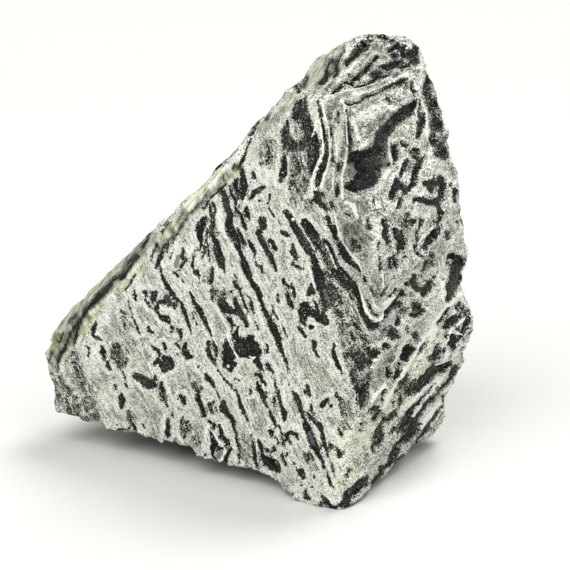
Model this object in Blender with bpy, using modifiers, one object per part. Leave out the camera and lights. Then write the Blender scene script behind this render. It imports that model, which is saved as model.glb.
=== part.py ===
"""Leopard stone: one rough block of banded black-and-white rock, broken on every side.

The block starts as the hull of its broken corners. Its faces then get the relief that breaking left:
ledges along the beds, chipped facets and a hackly skin. Last, the small flat that it rests on is cut.
Lengths are in millimetres while the block is shaped, and the finished mesh is in metres.
"""

import bmesh
import bpy
from mathutils import Matrix, Vector, noise

MM = 0.001

# Corners of the block, in millimetres from its foot, the lowest point of the front edge: x to the
# right, y away from the front, z above the table. Each list follows one broken edge.
FRONT_EDGE = [(0, -0.8, -1), (3, 1.3, 20), (7, 2.8, 39), (10, 5, 57), (12.7, 10.7, 81)]
FOOT = [(-5, 0.6, -1), (4, 2, 0.5)]
STEPPED_BREAK = [(-6.3, 26.8, 124), (-5.7, 18.3, 98), (24.5, 50.4, 127), (28.5, 38.5, 100)]
RIGHT_EDGE = [(22.4, 25.2, 39), (32, 37.2, 58)]
CAP_RIM = [(-4, 50, 134.5), (2.5, 52, 137.5), (9, 55, 140), (19.5, 57, 138.3), (25, 60, 135.5)]
RIGHT_SIDE = [(28, 57, 128.5), (34, 56, 118), (37, 54, 107), (38, 53, 95), (39, 52, 80)]
LOWER_RIGHT_SIDE = [(42.5, 54, 48), (42.5, 56, 38), (42, 58, 30), (37, 60, 18), (34.5, 60, 5.5)]
LOWER_RIGHT_EDGE = [(24, 40, 7.5), (13.5, 18.3, 3.6), (6.7, 7.9, 1.8)]
LEFT_TIP = [(-97.5, 62, 30), (-97, 61, 22), (-94, 59, 9.5)]
LOWER_LEFT_EDGE = [(-86, 55, 9.5), (-74, 48, 9.5), (-16, 10, 3), (-9, 4, 0)]
SHOULDER = [
    (-90, 58, 31), (-81, 53.5, 43.5), (-63, 47, 61.5), (-49, 44, 78.5), (-26.5, 35, 108),
    (-13, 31, 125),
]
SKYLINE = [
    (-94, 71, 33), (-86.5, 74, 40), (-69, 75.6, 54.5), (-61.5, 75, 64), (-30, 64.6, 101),
    (-11, 56.7, 123.5),
]
BACK = [
    (-12, 85, 110), (19, 94, 79), (22, 91, 28), (10, 94, 12), (-63, 94, 14), (-66, 98, 35),
    (-37, 103, 62),
]
BASE = [(-40, 64, -1), (-31, 78, -1), (-8, 84, -1), (11, 72, -1)]
CORNERS = (
    FRONT_EDGE + FOOT + STEPPED_BREAK + RIGHT_EDGE + CAP_RIM + RIGHT_SIDE + LOWER_RIGHT_SIDE
    + LOWER_RIGHT_EDGE + LEFT_TIP + LOWER_LEFT_EDGE + SHOULDER + SKYLINE + BACK + BASE
)

# Lumps, and bites with a depth below zero, where the edges aren't straight: each is a place in
# millimetres from the foot, how far it reaches and how far it stands out.
LUMPS = [
    ((-68, 59, 63), 20, -2.2),
    ((-58, 61, 72), 12, -2.6),
    ((-48, 60, 85), 20, -1.6),
    ((-42, 62, 90), 12, -3.0),
    ((-22, 61, 110), 12, -1.2),
    ((13, 56, 139), 9, -1.0),
    ((-92, 58, 9), 9, 1.2),
    ((39.5, 53, 58), 13, -3.0),
    ((42, 57, 32), 10, 1.3),
    ((35, 60, 16), 9, -2.5),
    ((25, 42, 5), 10, -1.5),
    ((-68, 46, 9), 18, -2.5),
    ((-52, 38, 8), 16, -2.5),
    ((-40, 30, 6), 34, -3.5),
    ((-23, 18, 2), 16, -4.0),
]

# The stepped break at the upper right: low steps, one inside the next, each given by its rim as it is
# seen from the front, x and z in millimetres from the foot.
OUTER_STEP = [
    (-6.6, 122), (-4, 109), (-8.5, 97), (-1, 87), (4, 74), (6, 64), (10, 67), (22, 82), (28, 96),
    (25, 124),
]
MIDDLE_STEP = [
    (0, 119), (1.5, 108), (0.5, 96), (3, 86), (7, 76), (13, 82), (19, 93), (21.5, 102), (23.5, 122),
]
INNER_STEP = [(4.5, 118), (5, 111), (7, 107), (13.5, 112), (21.5, 121)]
STEP_HEIGHT = 1.1
STEP_SLOPE = 0.9
# How squarely a face has to lie along the beds to carry the steps: from not at all, to fully.
STEP_FACING = (0.3, 0.6)

# The beds: near-parallel layers that dip down to the left and away, seen edge-on as bands.
BED_NORMAL = Vector((0.55, -0.58, 0.60)).normalized()
BED_THICKNESS = 5.5
BED_WARP = 5.0
BED_WARP_LENGTH = 38.0

# Each bed ends in a ledge. The riser to the next bed takes the last part of its thickness, and a ledge
# deepens and dies out along its run.
LEDGE_DEPTH = 2.2
BED_SETBACK = 0.5
RISER_START = 0.72
LEDGE_RUN = 24.0
LEDGE_RUN_SEED = Vector((7.3, 1.9, 4.1))
LEDGE_RUN_CONTRAST = (-0.45, 0.35)
SHALLOWEST_RUN = 0.25

# The smooth break at the front left cut straight across the beds, so its ledges are low there. The
# faces that lie nearly along it count as part of it, from not at all, to fully.
SMOOTH_BREAK_NORMAL = Vector((-0.52, -0.84, 0.18)).normalized()
SMOOTH_BREAK_FACING = (0.80, 0.96)
LEDGE_LOSS = 0.75

SWELL_DEPTH = 1.6
SWELL_LENGTH = 42.0
CHIP_DEPTH = 0.8
CHIP_LENGTH = 17.0
CHIP_SEED = 3.7
HACKLE_DEPTH = 0.45
HACKLE_LENGTH = 6.5
HACKLE_FADE = 0.8
HACKLE_FINER = 2.1
HACKLE_SIZES = 4

# The relief fades out over this height above the table, so that the foot keeps its shape.
FOOT_HEIGHT = 6.0

FORMING_MESH = 1.9
BLUNTING = 0.4
BLUNTING_PASSES = 2
FACE_LIMIT = 9000

STONE_COLOUR = (0.36, 0.37, 0.34, 1.0)
STONE_ROUGHNESS = 0.8


def clear_scene():
    for obj in list(bpy.data.objects):
        bpy.data.objects.remove(obj)


def smooth_step(low, high, value):
    t = min(1.0, max(0.0, (value - low) / (high - low)))
    return t * t * (3.0 - 2.0 * t)


def bed_level(point):
    """How many beds lie below a point, counted along the gently warped bedding."""
    warp = BED_WARP * noise.noise(point / BED_WARP_LENGTH)
    return (point.dot(BED_NORMAL) + warp) / BED_THICKNESS


def bed_depth(index):
    """How far bed number index stands out of the break. Most broke back, so this is mostly below 0."""
    return noise.cell(Vector((index + 0.5, 0.5, 0.5))) - BED_SETBACK


def ledge_relief(point, normal):
    """Beds broke back by different amounts, so each ends in a short riser to the next."""
    level = bed_level(point)
    index = level // 1
    riser = smooth_step(RISER_START, 1.0, level - index)
    depth = bed_depth(index) * (1.0 - riser) + bed_depth(index + 1) * riser
    across = smooth_step(*SMOOTH_BREAK_FACING, normal.dot(SMOOTH_BREAK_NORMAL))
    run = smooth_step(*LEDGE_RUN_CONTRAST, noise.noise(point / LEDGE_RUN + LEDGE_RUN_SEED))
    strength = (SHALLOWEST_RUN + (1.0 - SHALLOWEST_RUN) * run) * (1.0 - LEDGE_LOSS * across)
    return LEDGE_DEPTH * depth * strength


def chip_relief(point):
    """Each chip is a small plane tilted its own way, so chips meet in creases."""
    seeds = noise.voronoi(point / CHIP_LENGTH)[1]
    tilt = 2.0 * noise.cell_vector(seeds[0] * CHIP_SEED) - Vector((1.0, 1.0, 1.0))
    return CHIP_DEPTH * tilt.dot(point / CHIP_LENGTH - seeds[0])


def inside_rim(place, rim):
    """How far a place on the front view is inside a rim, or below zero, how far outside."""
    nearest = float("inf")
    inside = False
    for start, end in zip(rim, rim[1:] + rim[:1]):
        start, end = Vector(start), Vector(end)
        along = (place - start).dot(end - start) / (end - start).length_squared
        nearest = min(nearest, (place - start.lerp(end, min(1.0, max(0.0, along)))).length)
        if (start.y > place.y) != (end.y > place.y):
            crossing = start.x + (place.y - start.y) * (end.x - start.x) / (end.y - start.y)
            inside ^= place.x < crossing
    return nearest if inside else -nearest


def step_relief(point, normal):
    """The rock here parted along the beds, and each bed's remnant is smaller than the one below."""
    place = Vector((point.x, point.z))
    facing = smooth_step(*STEP_FACING, normal.dot(BED_NORMAL))
    steps = sum(
        smooth_step(-STEP_SLOPE, STEP_SLOPE, inside_rim(place, rim))
        for rim in (OUTER_STEP, MIDDLE_STEP, INNER_STEP)
    )
    return STEP_HEIGHT * steps * facing


def lump_relief(point):
    return sum(
        height * (1.0 - smooth_step(0.0, reach, (point - Vector(centre)).length))
        for centre, reach, height in LUMPS
    )


def relief(point, normal):
    swell = SWELL_DEPTH * noise.noise(point / SWELL_LENGTH)
    hackle = HACKLE_DEPTH * noise.fractal(
        point / HACKLE_LENGTH, HACKLE_FADE, HACKLE_FINER, HACKLE_SIZES
    )
    breaks = chip_relief(point) + ledge_relief(point, normal) + step_relief(point, normal)
    above_foot = smooth_step(0.0, FOOT_HEIGHT, point.z)
    return (swell + breaks + hackle) * above_foot + lump_relief(point)


def hull_object(corners):
    mesh = bpy.data.meshes.new("block")
    block = bmesh.new()
    for corner in corners:
        block.verts.new(corner)
    hull = bmesh.ops.convex_hull(block, input=block.verts)
    inside = [item for item in hull["geom_interior"] if isinstance(item, bmesh.types.BMVert)]
    bmesh.ops.delete(block, geom=inside, context="VERTS")
    bmesh.ops.recalc_face_normals(block, faces=block.faces)
    block.to_mesh(mesh)
    block.free()
    return bpy.data.objects.new("block", mesh)


def evaluated_mesh(obj):
    graph = bpy.context.evaluated_depsgraph_get()
    return bpy.data.meshes.new_from_object(obj.evaluated_get(graph))


def apply_modifiers(obj):
    mesh = evaluated_mesh(obj)
    obj.modifiers.clear()
    obj.data = mesh


def even_mesh(obj, size):
    remesh = obj.modifiers.new("even mesh", "REMESH")
    remesh.mode = "VOXEL"
    remesh.voxel_size = size
    apply_modifiers(obj)


def roughen(obj):
    points = [vertex.co.copy() for vertex in obj.data.vertices]
    normals = [vertex.normal.copy() for vertex in obj.data.vertices]
    for vertex, point, normal in zip(obj.data.vertices, points, normals):
        vertex.co = point + normal * relief(point, normal)
    blunt = obj.modifiers.new("blunt the thinnest splinters", "SMOOTH")
    blunt.factor = BLUNTING
    blunt.iterations = BLUNTING_PASSES
    apply_modifiers(obj)


def simplify(obj, triangles):
    obj.data.calc_loop_triangles()
    decimate = obj.modifiers.new("simplify", "DECIMATE")
    decimate.ratio = triangles / len(obj.data.loop_triangles)
    decimate.use_collapse_triangulate = True
    apply_modifiers(obj)


def cut_resting_flat(obj):
    """Cuts the stone level with the table and closes the cut with one flat face."""
    stone = bmesh.new()
    stone.from_mesh(obj.data)
    everything = stone.verts[:] + stone.edges[:] + stone.faces[:]
    cut = bmesh.ops.bisect_plane(
        stone, geom=everything, plane_co=(0, 0, 0), plane_no=(0, 0, 1), clear_inner=True
    )
    rim = [item for item in cut["geom_cut"] if isinstance(item, bmesh.types.BMEdge)]
    bmesh.ops.holes_fill(stone, edges=rim)
    bmesh.ops.recalc_face_normals(stone, faces=stone.faces)
    stone.to_mesh(obj.data)
    stone.free()


def centre_on_table(obj):
    """Places the stone so that the world's origin is on the table under the middle of its box."""
    xs = [vertex.co.x for vertex in obj.data.vertices]
    ys = [vertex.co.y for vertex in obj.data.vertices]
    obj.location = (-(min(xs) + max(xs)) / 2, -(min(ys) + max(ys)) / 2, 0)


def stone_material():
    material = bpy.data.materials.new("banded rock")
    material.use_nodes = True
    shader = material.node_tree.nodes["Principled BSDF"]
    shader.inputs["Base Color"].default_value = STONE_COLOUR
    shader.inputs["Roughness"].default_value = STONE_ROUGHNESS
    shader.inputs["Metallic"].default_value = 0.0
    return material


def make_stone():
    collection = bpy.data.collections.new("leopard stone")
    bpy.context.scene.collection.children.link(collection)
    stone = hull_object(CORNERS)
    stone.name = "stone"
    collection.objects.link(stone)
    even_mesh(stone, FORMING_MESH)
    roughen(stone)
    simplify(stone, FACE_LIMIT)
    cut_resting_flat(stone)
    stone.data.transform(Matrix.Scale(MM, 4))
    centre_on_table(stone)
    stone.data.materials.append(stone_material())


clear_scene()
make_stone()
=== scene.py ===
import math

import bpy
import numpy as np
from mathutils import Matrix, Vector, noise


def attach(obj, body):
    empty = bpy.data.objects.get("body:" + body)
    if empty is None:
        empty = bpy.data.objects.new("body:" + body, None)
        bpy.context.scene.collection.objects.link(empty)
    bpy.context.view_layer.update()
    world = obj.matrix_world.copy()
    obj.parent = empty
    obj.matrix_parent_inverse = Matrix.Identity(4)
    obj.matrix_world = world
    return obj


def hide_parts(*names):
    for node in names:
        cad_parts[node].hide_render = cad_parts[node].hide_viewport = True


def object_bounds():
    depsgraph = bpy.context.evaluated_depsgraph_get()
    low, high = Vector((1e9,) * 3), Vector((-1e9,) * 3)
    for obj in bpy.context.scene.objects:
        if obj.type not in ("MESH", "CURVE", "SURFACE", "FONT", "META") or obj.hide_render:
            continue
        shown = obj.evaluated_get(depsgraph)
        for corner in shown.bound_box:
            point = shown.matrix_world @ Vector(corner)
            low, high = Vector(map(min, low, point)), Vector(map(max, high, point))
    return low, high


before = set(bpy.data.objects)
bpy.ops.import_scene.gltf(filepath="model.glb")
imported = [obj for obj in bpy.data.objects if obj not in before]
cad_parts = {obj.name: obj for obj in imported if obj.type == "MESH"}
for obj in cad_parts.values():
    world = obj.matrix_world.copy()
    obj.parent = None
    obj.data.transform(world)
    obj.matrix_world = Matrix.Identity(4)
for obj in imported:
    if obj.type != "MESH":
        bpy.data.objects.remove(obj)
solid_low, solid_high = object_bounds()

# The photographer's place.
# The stone was photographed from the front, a little above it, with a long lens, and fills most of a
# square picture. Its foot, the lowest point of the front edge, is the point that the rest is set from.
MM = 0.001
FOOT_FROM_LEFT_END = 95.44 * MM
FOOT_FROM_FRONT = 0.18 * MM
PHOTO_SIDE = 570.0  # in pixels
MM_PER_PIXEL = 0.315
CAMERA_DISTANCE = 900.0 * MM
CAMERA_ELEVATION = math.radians(18.0)
AIM_FROM_FOOT = Vector((-17.26, 40.0, 59.91)) * MM
NEAREST_SEEN = 50.0 * MM
FURTHEST_SEEN = 20000.0 * MM
SENSOR_WIDTH = 36.0  # in millimetres, as Blender has it

foot = Vector((solid_low.x + FOOT_FROM_LEFT_END, solid_low.y + FOOT_FROM_FRONT, 0.0))
look = Vector((0.0, math.cos(CAMERA_ELEVATION), -math.sin(CAMERA_ELEVATION)))
up = Vector((0.0, math.sin(CAMERA_ELEVATION), math.cos(CAMERA_ELEVATION)))
eye = foot + AIM_FROM_FOOT - look * CAMERA_DISTANCE

camera = bpy.data.objects.new("camera", bpy.data.cameras.new("camera"))
bpy.context.scene.collection.objects.link(camera)
camera.data.sensor_fit = "HORIZONTAL"
camera.data.sensor_width = SENSOR_WIDTH
camera.data.lens = SENSOR_WIDTH * CAMERA_DISTANCE / (PHOTO_SIDE * MM_PER_PIXEL * MM)
camera.data.clip_start = NEAREST_SEEN
camera.data.clip_end = FURTHEST_SEEN
camera.location = eye
camera.rotation_mode = "QUATERNION"
camera.rotation_quaternion = look.to_track_quat("-Z", "Y")
bpy.context.scene.camera = camera


def in_photo(world):
    """Where points, in metres, are in the photograph, in its pixels from the top left corner."""
    away = world - np.array(eye)
    pixels_per_metre = CAMERA_DISTANCE / (MM_PER_PIXEL * MM) / (away @ np.array(look))
    across = PHOTO_SIDE / 2 + pixels_per_metre * away[:, 0]
    down = PHOTO_SIDE / 2 - pixels_per_metre * (away @ np.array(up))
    return np.stack([across, down], axis=1)


# The stone's markings, as read from the photograph.
# Black minerals lie in drawn-out lenses and bands along the rock's layers. Each marking is a chain of
# (across, down, half width) in photo pixels, and a marking with one entry is a round spot.

# On the rough cap at the top: broad black patches, and crevices along its ledges. The crevices are sunk
# into the mesh, and their black is painted shade.
CAP_PATCHES = [
    [(418, 44, 3), (417, 52, 4), (410, 54, 5), (404, 54, 3.5), (404, 46, 2.6)],
    [(413, 60, 3), (417, 61, 3.5)], [(389, 51, 1), (394, 48, 2), (399, 45, 2.6)],
]
CAP_CREVICES_PAINTED_SHADE = [
    [(381, 66, 1.4), (388, 67, 3.2), (395, 64, 3.2), (401, 61, 1.3)], [(402, 67, 0.9), (409, 65, 1.2)],
    [(366, 71, 2), (369, 66, 1.7), (373, 61, 1), (378, 57, 0.5)],
    [(361, 73, 1.6), (358, 78, 2.4), (353, 80, 1.1)], [(344, 82, 1.1), (350, 83, 1.8), (353, 85, 1)],
    [(355, 87, 0.6), (362, 86, 0.9), (370, 83, 0.9), (378, 78, 0.6)],
    [(391, 84, 0.4), (398, 84, 0.7), (403, 81, 0.9), (408, 79, 0.6)],
    [(341, 86, 1.3), (337, 90, 2.1), (333, 93, 0.8)], [(323, 97, 0.6), (318, 99, 0.5)],
    [(362, 98, 0.5), (368, 95, 0.7), (376, 93, 0.5), (384, 90, 0.4)],
    [(346, 104, 0.7), (352, 104, 1.1), (358, 103, 0.6)], [(341, 54, 0.9), (337, 60, 1.2), (336, 68, 1.2)],
    [(338, 70, 0.9), (335, 75, 1)], [(328, 73, 0.7), (325, 79, 1.6), (321, 83, 1.2), (318, 84, 0.6)],
    [(361, 50, 1.4), (358, 54, 1.8), (354, 58, 1.8), (350, 61, 1.3), (347, 65, 0.8)],
    [(361, 42, 0.8), (365, 46, 1.5)], [(366, 32, 1), (371, 33, 1.3)], [(380, 38, 0.7), (385, 38, 1.1)],
    [(392, 40, 0.9), (396, 37, 0.7)], [(396, 56, 1.2)], [(349, 75, 0.7)],
    [(390, 74, 0.6), (383, 77, 0.8)], [(372, 74, 0.8), (378, 76, 1)], [(345, 50, 0.6), (340, 54, 0.7)],
    [(333, 60, 0.6), (327, 66, 0.7), (326, 71, 0.5)],
]
# On the kite, the stepped and four-sided part at the upper right, and at its foot.
KITE_BLACK_AND_SHADE = [
    [(305, 98, 2), (303, 108, 5), (305, 120, 6), (309, 132, 6), (313, 143, 6.5), (314, 154, 6.2),
     (313, 165, 5.4), (311, 172, 3)],
    [(297, 108, 3), (298, 116, 5)], [(292, 140, 2), (298, 148, 3), (302, 144, 3)],
    [(296, 160, 2), (299, 170, 2.4), (294, 176, 2)],
    [(318, 100, 1), (319, 107, 1.2), (321, 116, 1.1), (323, 128, 1.3), (324, 136, 2), (326, 145, 2.4),
     (327, 154, 2.8), (325, 163, 3.4), (321, 172, 4), (318, 179, 3.7), (317, 186, 2.3)],
    [(316, 193, 2.6), (317, 199, 4), (321, 204, 2.8), (326, 209, 1.8)],
    [(327, 218, 2.8), (331, 223, 3.6), (334, 231, 3.2), (336, 239, 2)],
    [(340, 245, 3.4), (343, 252, 4), (348, 258, 3.4)],
    [(413, 106, 4.5), (405, 112, 6), (396, 119, 5.5), (389, 126, 4), (384, 133, 4), (379, 141, 4),
     (374, 149, 4)],
    [(353, 155, 3.5), (362, 154, 4.5), (372, 154, 6), (378, 149, 3)], [(362, 165, 7), (371, 167, 7.5)],
    [(362, 180, 8), (371, 178, 8.5)], [(348, 186, 4), (356, 187, 5), (366, 185, 4)], [(352, 161, 4)],
    # These thin lines along the steps are partly painted shade under the ledges, as on the cap.
    [(363, 99, 0.8), (368, 96, 0.7), (376, 93, 0.5)], [(386, 89, 0.5), (399, 83, 0.7), (406, 79, 0.8)],
    [(345, 103, 0.6), (352, 104, 0.9), (361, 101, 0.6)],
    [(346, 106, 0.5), (346, 114, 0.9), (347, 123, 2.1), (349, 133, 1.4), (350, 143, 1.2)],
    [(338, 113, 0.7), (338, 120, 1.5), (340, 127, 0.8)],
    [(331, 128, 0.6), (332, 140, 0.9), (333, 150, 0.7), (333, 162, 0.7)],
    [(339, 164, 1.4), (338, 171, 1.3)], [(337, 184, 1), (337.5, 190, 2.4), (337, 196, 1.2)],
    [(353, 131, 1)], [(394, 146, 1.6), (395, 153, 3.3), (395, 160, 1.8)],
    [(402, 143, 1.6), (406, 146, 1.8)], [(389, 165, 1.6)],
    [(412, 82, 0.8), (413, 90, 1.5), (414, 97, 1.1), (416, 105, 1)],
    [(419, 100, 0.6), (420, 108, 1), (419, 117, 1.6)],
    [(424, 114, 0.9), (423, 121, 2.4), (421, 129, 2.8), (419, 137, 2)], [(417, 122, 0.7), (418, 135, 1)],
    [(353, 243, 1.6), (356, 248, 1.5)], [(374, 196, 0.8), (375, 203, 1)],
    [(331, 203, 1.2), (334, 211, 1.8)], [(368, 219, 1.6), (369, 228, 2)],
    [(386, 100, 1.2), (390, 103, 1.4)], [(373, 112, 1)], [(378, 243, 0.9), (379, 250, 0.7)],
    [(380, 258, 0.7), (382, 270, 0.9)], [(346, 214, 0.8), (350, 216, 0.7)],
    [(322, 193, 1.2), (324, 197, 1)],
]
KITE_FOOT_BLACK = [
    [(311, 252, 2.2), (314, 260, 3.1), (317, 269, 4.3), (320, 280, 5.2), (323, 289, 5.2),
     (326, 296, 5.6), (327, 302, 5.4), (325, 309, 2.2)],
    [(328, 244, 2.2), (331, 253, 3.1), (335, 262, 3.1), (337, 268, 3.4), (341, 274, 5.6),
     (345, 281, 6.7), (352, 288, 5.8), (356, 295, 3.8), (359, 303, 2.5), (362, 312, 2.2),
     (366, 320, 2.9), (371, 326, 4), (376, 326, 3.8), (382, 321, 1.9), (386, 313, 2.2), (391, 308, 2.2),
     (397, 303, 3.4), (399, 297, 1.5)],
    [(343, 254, 2.5), (347, 259, 3.4), (353, 264, 2.2), (357, 267, 2.5), (361, 272, 1.1)],
    [(319, 246, 2), (324, 255, 2.2), (329, 265, 2), (334, 276, 2.5)], [(327, 246, 1.1), (332, 256, 1.6)],
    [(330, 286, 2.2), (335, 294, 2.7), (340, 302, 2.2)], [(364, 277, 0.9), (365, 281, 0.9)],
    [(366, 300, 0.7), (370, 308, 1), (374, 314, 1.2), (378, 316, 0.9)], [(371, 289, 1), (372, 293, 1.1)],
    [(382, 295, 1.9), (386, 288, 1.2)], [(396, 289, 1.6), (391, 296, 1.1)],
    [(403, 290, 1.5), (403, 294, 3.1)],
    [(305, 307, 5.2), (304, 313, 5.6), (303, 319, 4.3), (304, 324, 2)],
    [(309, 310, 3.4), (315, 315, 4), (321, 318, 5.4), (327, 323, 2.7)],
    [(314, 302, 1), (317, 307, 1.2), (319, 313, 1.6)],
    [(311, 284, 1.1), (311, 288, 2.2), (309, 294, 2.5)], [(315, 293, 1.3)], [(311, 327, 2.6)],
    [(298, 327, 1), (302, 332, 1.9), (305, 336, 2)], [(292, 285, 1.7), (294, 293, 1.8), (295, 299, 0.8)],
    [(313, 341, 1.9), (315, 344, 2.4), (314, 349, 1.6), (316, 354, 1.3), (319, 357, 0.8)],
    [(351, 333, 1), (354, 340, 1.5)],
    [(334, 344, 1), (333, 351, 1.8), (335, 358, 2.2), (338, 366, 2.2), (342, 373, 0.9)],
    [(347, 356, 2.5), (350, 352, 1.1)],
    [(346, 355, 2.2), (352, 353, 3.8), (359, 357, 5.6), (361, 364, 5.2), (357, 369, 3.4)],
    [(366, 353, 3.4), (376, 353, 4.9)], [(370, 361, 3.4)], [(326, 274, 2.7), (331, 276, 2.2)],
    [(338, 311, 2.2), (341, 315, 2.5)], [(400, 317, 1), (398, 323, 2.4)],
    [(391, 333, 1.8), (396, 336, 2.2)], [(386, 346, 2.7)],
    [(351, 373, 1.1), (354, 381, 2.5), (356, 387, 1.8), (360, 390, 1.1)],
    [(366, 393, 2.2), (362, 397, 2), (362, 403, 1.3)], [(391, 259, 1.6), (391, 267, 1.7)],
    [(395, 257, 1.7), (397, 263, 2.8), (397, 267, 1.1)], [(363, 347, 1.1)],
]
# On the rough break at the right, and round the lowest corner at the front.
UPPER_RIGHT_BLACK = [
    [(427, 74, 1.6), (428, 84, 3), (424, 87, 2)],
    [(427, 93, 2.2), (431, 99, 3.4), (433, 105, 3.4), (431, 110, 2)],
    [(434, 125, 2.6), (437, 121, 3.6), (440, 128, 2.2)], [(433, 137, 2.2), (436, 144, 2.4)],
    [(435, 154, 1.8), (441, 152, 3.2), (446, 156, 2.8), (445, 148, 2.2)], [(413, 152, 2), (417, 150, 2)],
    [(416, 157, 1.3)],
    [(424, 158, 1.6), (420, 164, 3.8), (416, 172, 2.8), (414, 178, 2.6), (415, 184, 2.5),
     (411, 188, 2.6), (406, 191, 3), (402, 186, 2.8)],
    [(408, 160, 1.2), (404, 168, 1.8), (401, 174, 1.3)],
    [(397, 180, 2.6), (395, 188, 3.4), (392, 196, 3)], [(402, 198, 1), (400, 204, 1.9), (398, 208, 1.4)],
    [(433, 175, 1.2), (434, 180, 3.4), (431, 186, 4.8), (431, 189, 4)],
    [(426, 184, 2.6), (436, 183, 3.4)],
    [(441, 177, 2.6), (444, 183, 3.6), (443, 191, 3.6), (442, 198, 3), (437, 201, 3), (439, 205, 3.2)],
    [(416, 200, 2.2), (421, 200, 3), (428, 202, 2.6), (434, 203, 2.6), (439, 203, 3)],
    [(451, 184, 1.3), (453, 192, 1.8), (455, 201, 2)], [(458, 222, 1.4)],
    [(420, 217, 1), (423, 220, 2), (421, 226, 1.2)],
    [(441, 212, 1.6), (440, 220, 1.2), (438, 227, 1.8), (435, 233, 3.2), (430, 239, 3.2),
     (426, 245, 2.4), (424, 249, 1.6)],
    [(436, 222, 0.8)], [(412, 222, 2)], [(406, 222, 1.4)], [(409, 214, 1.4)],
    [(385, 221, 3), (386, 228, 3), (384, 235, 3), (388, 241, 2.6)],
    [(394, 230, 2.6), (398, 234, 4), (403, 240, 4.6), (402, 247, 4), (400, 251, 2.2)],
    [(418, 232, 1), (418, 240, 1.5)], [(416, 247, 1.6), (419, 255, 1.3)],
    [(445, 232, 1), (449, 238, 1.6)],
    [(449, 256, 2.6), (455, 256, 2.6), (461, 259, 3.4), (457, 266, 5), (456, 273, 5.2), (455, 281, 5.2),
     (452, 288, 4.6), (449, 294, 3.4), (446, 300, 1.2)],
    [(448, 258, 1.8), (447, 263, 1)], [(445, 279, 1.1)],
    [(415, 276, 1.8), (413, 281, 3.2), (416, 285, 3.8)], [(408, 284, 2.4)],
    [(429, 283, 2.8), (427, 288, 4), (424, 293, 4.2)], [(433, 277, 1.2)], [(434, 285, 1)],
    [(418, 290, 1.4)], [(422, 275, 1.4), (425, 270, 1.5)], [(433, 264, 1.4)], [(427, 262, 1.5)],
    [(413, 304, 1.8), (418, 308, 2.4)], [(422, 311, 1.8)], [(412, 315, 1.8), (417, 315, 2)],
    [(429, 315, 1.1)], [(406, 257, 1.4)], [(432, 256, 1.6)], [(407, 328, 0.8), (407, 332, 0.8)],
]
LOWER_RIGHT_BLACK = [
    [(449, 308, 2), (445, 313, 2.4), (442, 318, 2.2)], [(439, 320, 1.5), (435, 325, 1.7)],
    [(461, 303, 1.7), (458, 308, 2)], [(464, 306, 1.2), (462, 313, 2), (460, 318, 1.5)],
    [(467, 312, 2), (467, 321, 2.4), (464, 328, 2), (459, 335, 1.7), (457, 339, 1.2)],
    [(453, 320, 5.1), (449, 324, 3.9), (445, 328, 1.7)], [(458, 329, 2)],
    [(451, 337, 3.7), (453, 342, 4.9), (454, 347, 2.9)], [(445, 336, 1.7)],
    [(467, 330, 2), (463, 339, 2.2), (457, 349, 2.2), (452, 358, 2.2), (449, 365, 2.4)],
    [(437, 345, 2), (438, 351, 2.9), (434, 357, 3.4), (430, 359, 3.4)],
    [(444, 352, 1.2), (448, 346, 0.7)], [(422, 344, 2), (421, 350, 2.9), (418, 355, 2)],
    [(420, 362, 1.5), (418, 366, 2.2)], [(427, 347, 1.2), (425, 353, 1.1)],
    [(408, 350, 5.5), (404, 357, 4.9)],
    [(409, 369, 2), (407, 376, 3.4), (403, 384, 3.2), (400, 390, 1.5)],
    [(446, 362, 2.4), (443, 368, 4.1), (437, 368, 5.1), (431, 372, 5.4), (424, 379, 5.9),
     (417, 384, 6.1), (411, 390, 5.1), (407, 395, 2.2)],
    [(456, 367, 2.2), (454, 373, 3.7), (450, 379, 2.7), (446, 387, 2.2)],
    [(442, 384, 1.2), (438, 391, 1)], [(415, 335, 2.4), (417, 339, 1.8)], [(398, 364, 1.5)],
    [(397, 371, 2), (394, 379, 1.5)], [(397, 389, 1.2), (395, 393, 1.1)],
    [(402, 397, 3.2), (401, 402, 3.4), (399, 405, 1.5)], [(393, 402, 1.5)],
    [(433, 387, 2.9), (430, 392, 1.6)],
    [(428, 397, 3.2), (423, 404, 5.4), (417, 412, 7.3), (411, 420, 7.3), (405, 427, 5.6)],
    [(419, 424, 2), (415, 430, 3.5), (410, 435, 4.1), (405, 440, 2.9), (401, 443, 1.5)],
    [(439, 413, 1.1), (434, 420, 2), (428, 427, 2.7), (424, 433, 2.2), (419, 440, 1.6), (415, 446, 2)],
    [(388, 420, 2.4), (391, 418, 3.9), (395, 413, 3.9), (398, 410, 2)],
    [(443, 397, 1.2), (444, 406, 1.2)],
    [(369, 411, 1.7), (375, 408, 2.9), (378, 412, 2.9), (373, 419, 2.2)],
    [(382, 425, 2.1), (382, 433, 3.4), (380, 441, 3.4), (378, 446, 1.1)],
    [(379, 430, 2), (375, 435, 2.4), (373, 441, 1.5), (373, 447, 1.5)],
    [(383, 392, 2.2), (382, 399, 1.8)], [(361, 424, 1.6)], [(360, 430, 1.7)],
    [(394, 428, 1.6), (390, 434, 1.1)],
    [(399, 444, 1.7), (396, 451, 2.9), (393, 457, 2.7), (390, 464, 3.2), (386, 466, 1.8)],
    [(382, 468, 1.6), (381, 474, 1.6), (377, 479, 2.7), (376, 484, 3.9), (375, 488, 2.4)],
    [(405, 456, 2.1), (402, 459, 2.1), (397, 462, 1.7), (394, 459, 1.1)], [(369, 433, 1.1)],
    [(365, 447, 1.3)], [(374, 452, 1.2)], [(387, 369, 2), (388, 376, 1.6)],
    [(447, 384, 0.8), (439, 393, 1.2), (431, 402, 1)],
    [(447, 400, 0.8), (440, 410, 1.4), (431, 421, 1.6), (424, 430, 1)],
    [(443, 412, 0.6), (436, 422, 0.9), (428, 431, 0.9)], [(384, 418, 2), (380, 428, 3), (376, 438, 2.6)],
    [(365, 384, 1.2), (361, 392, 1.6), (360, 400, 1.2)],
]
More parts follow.
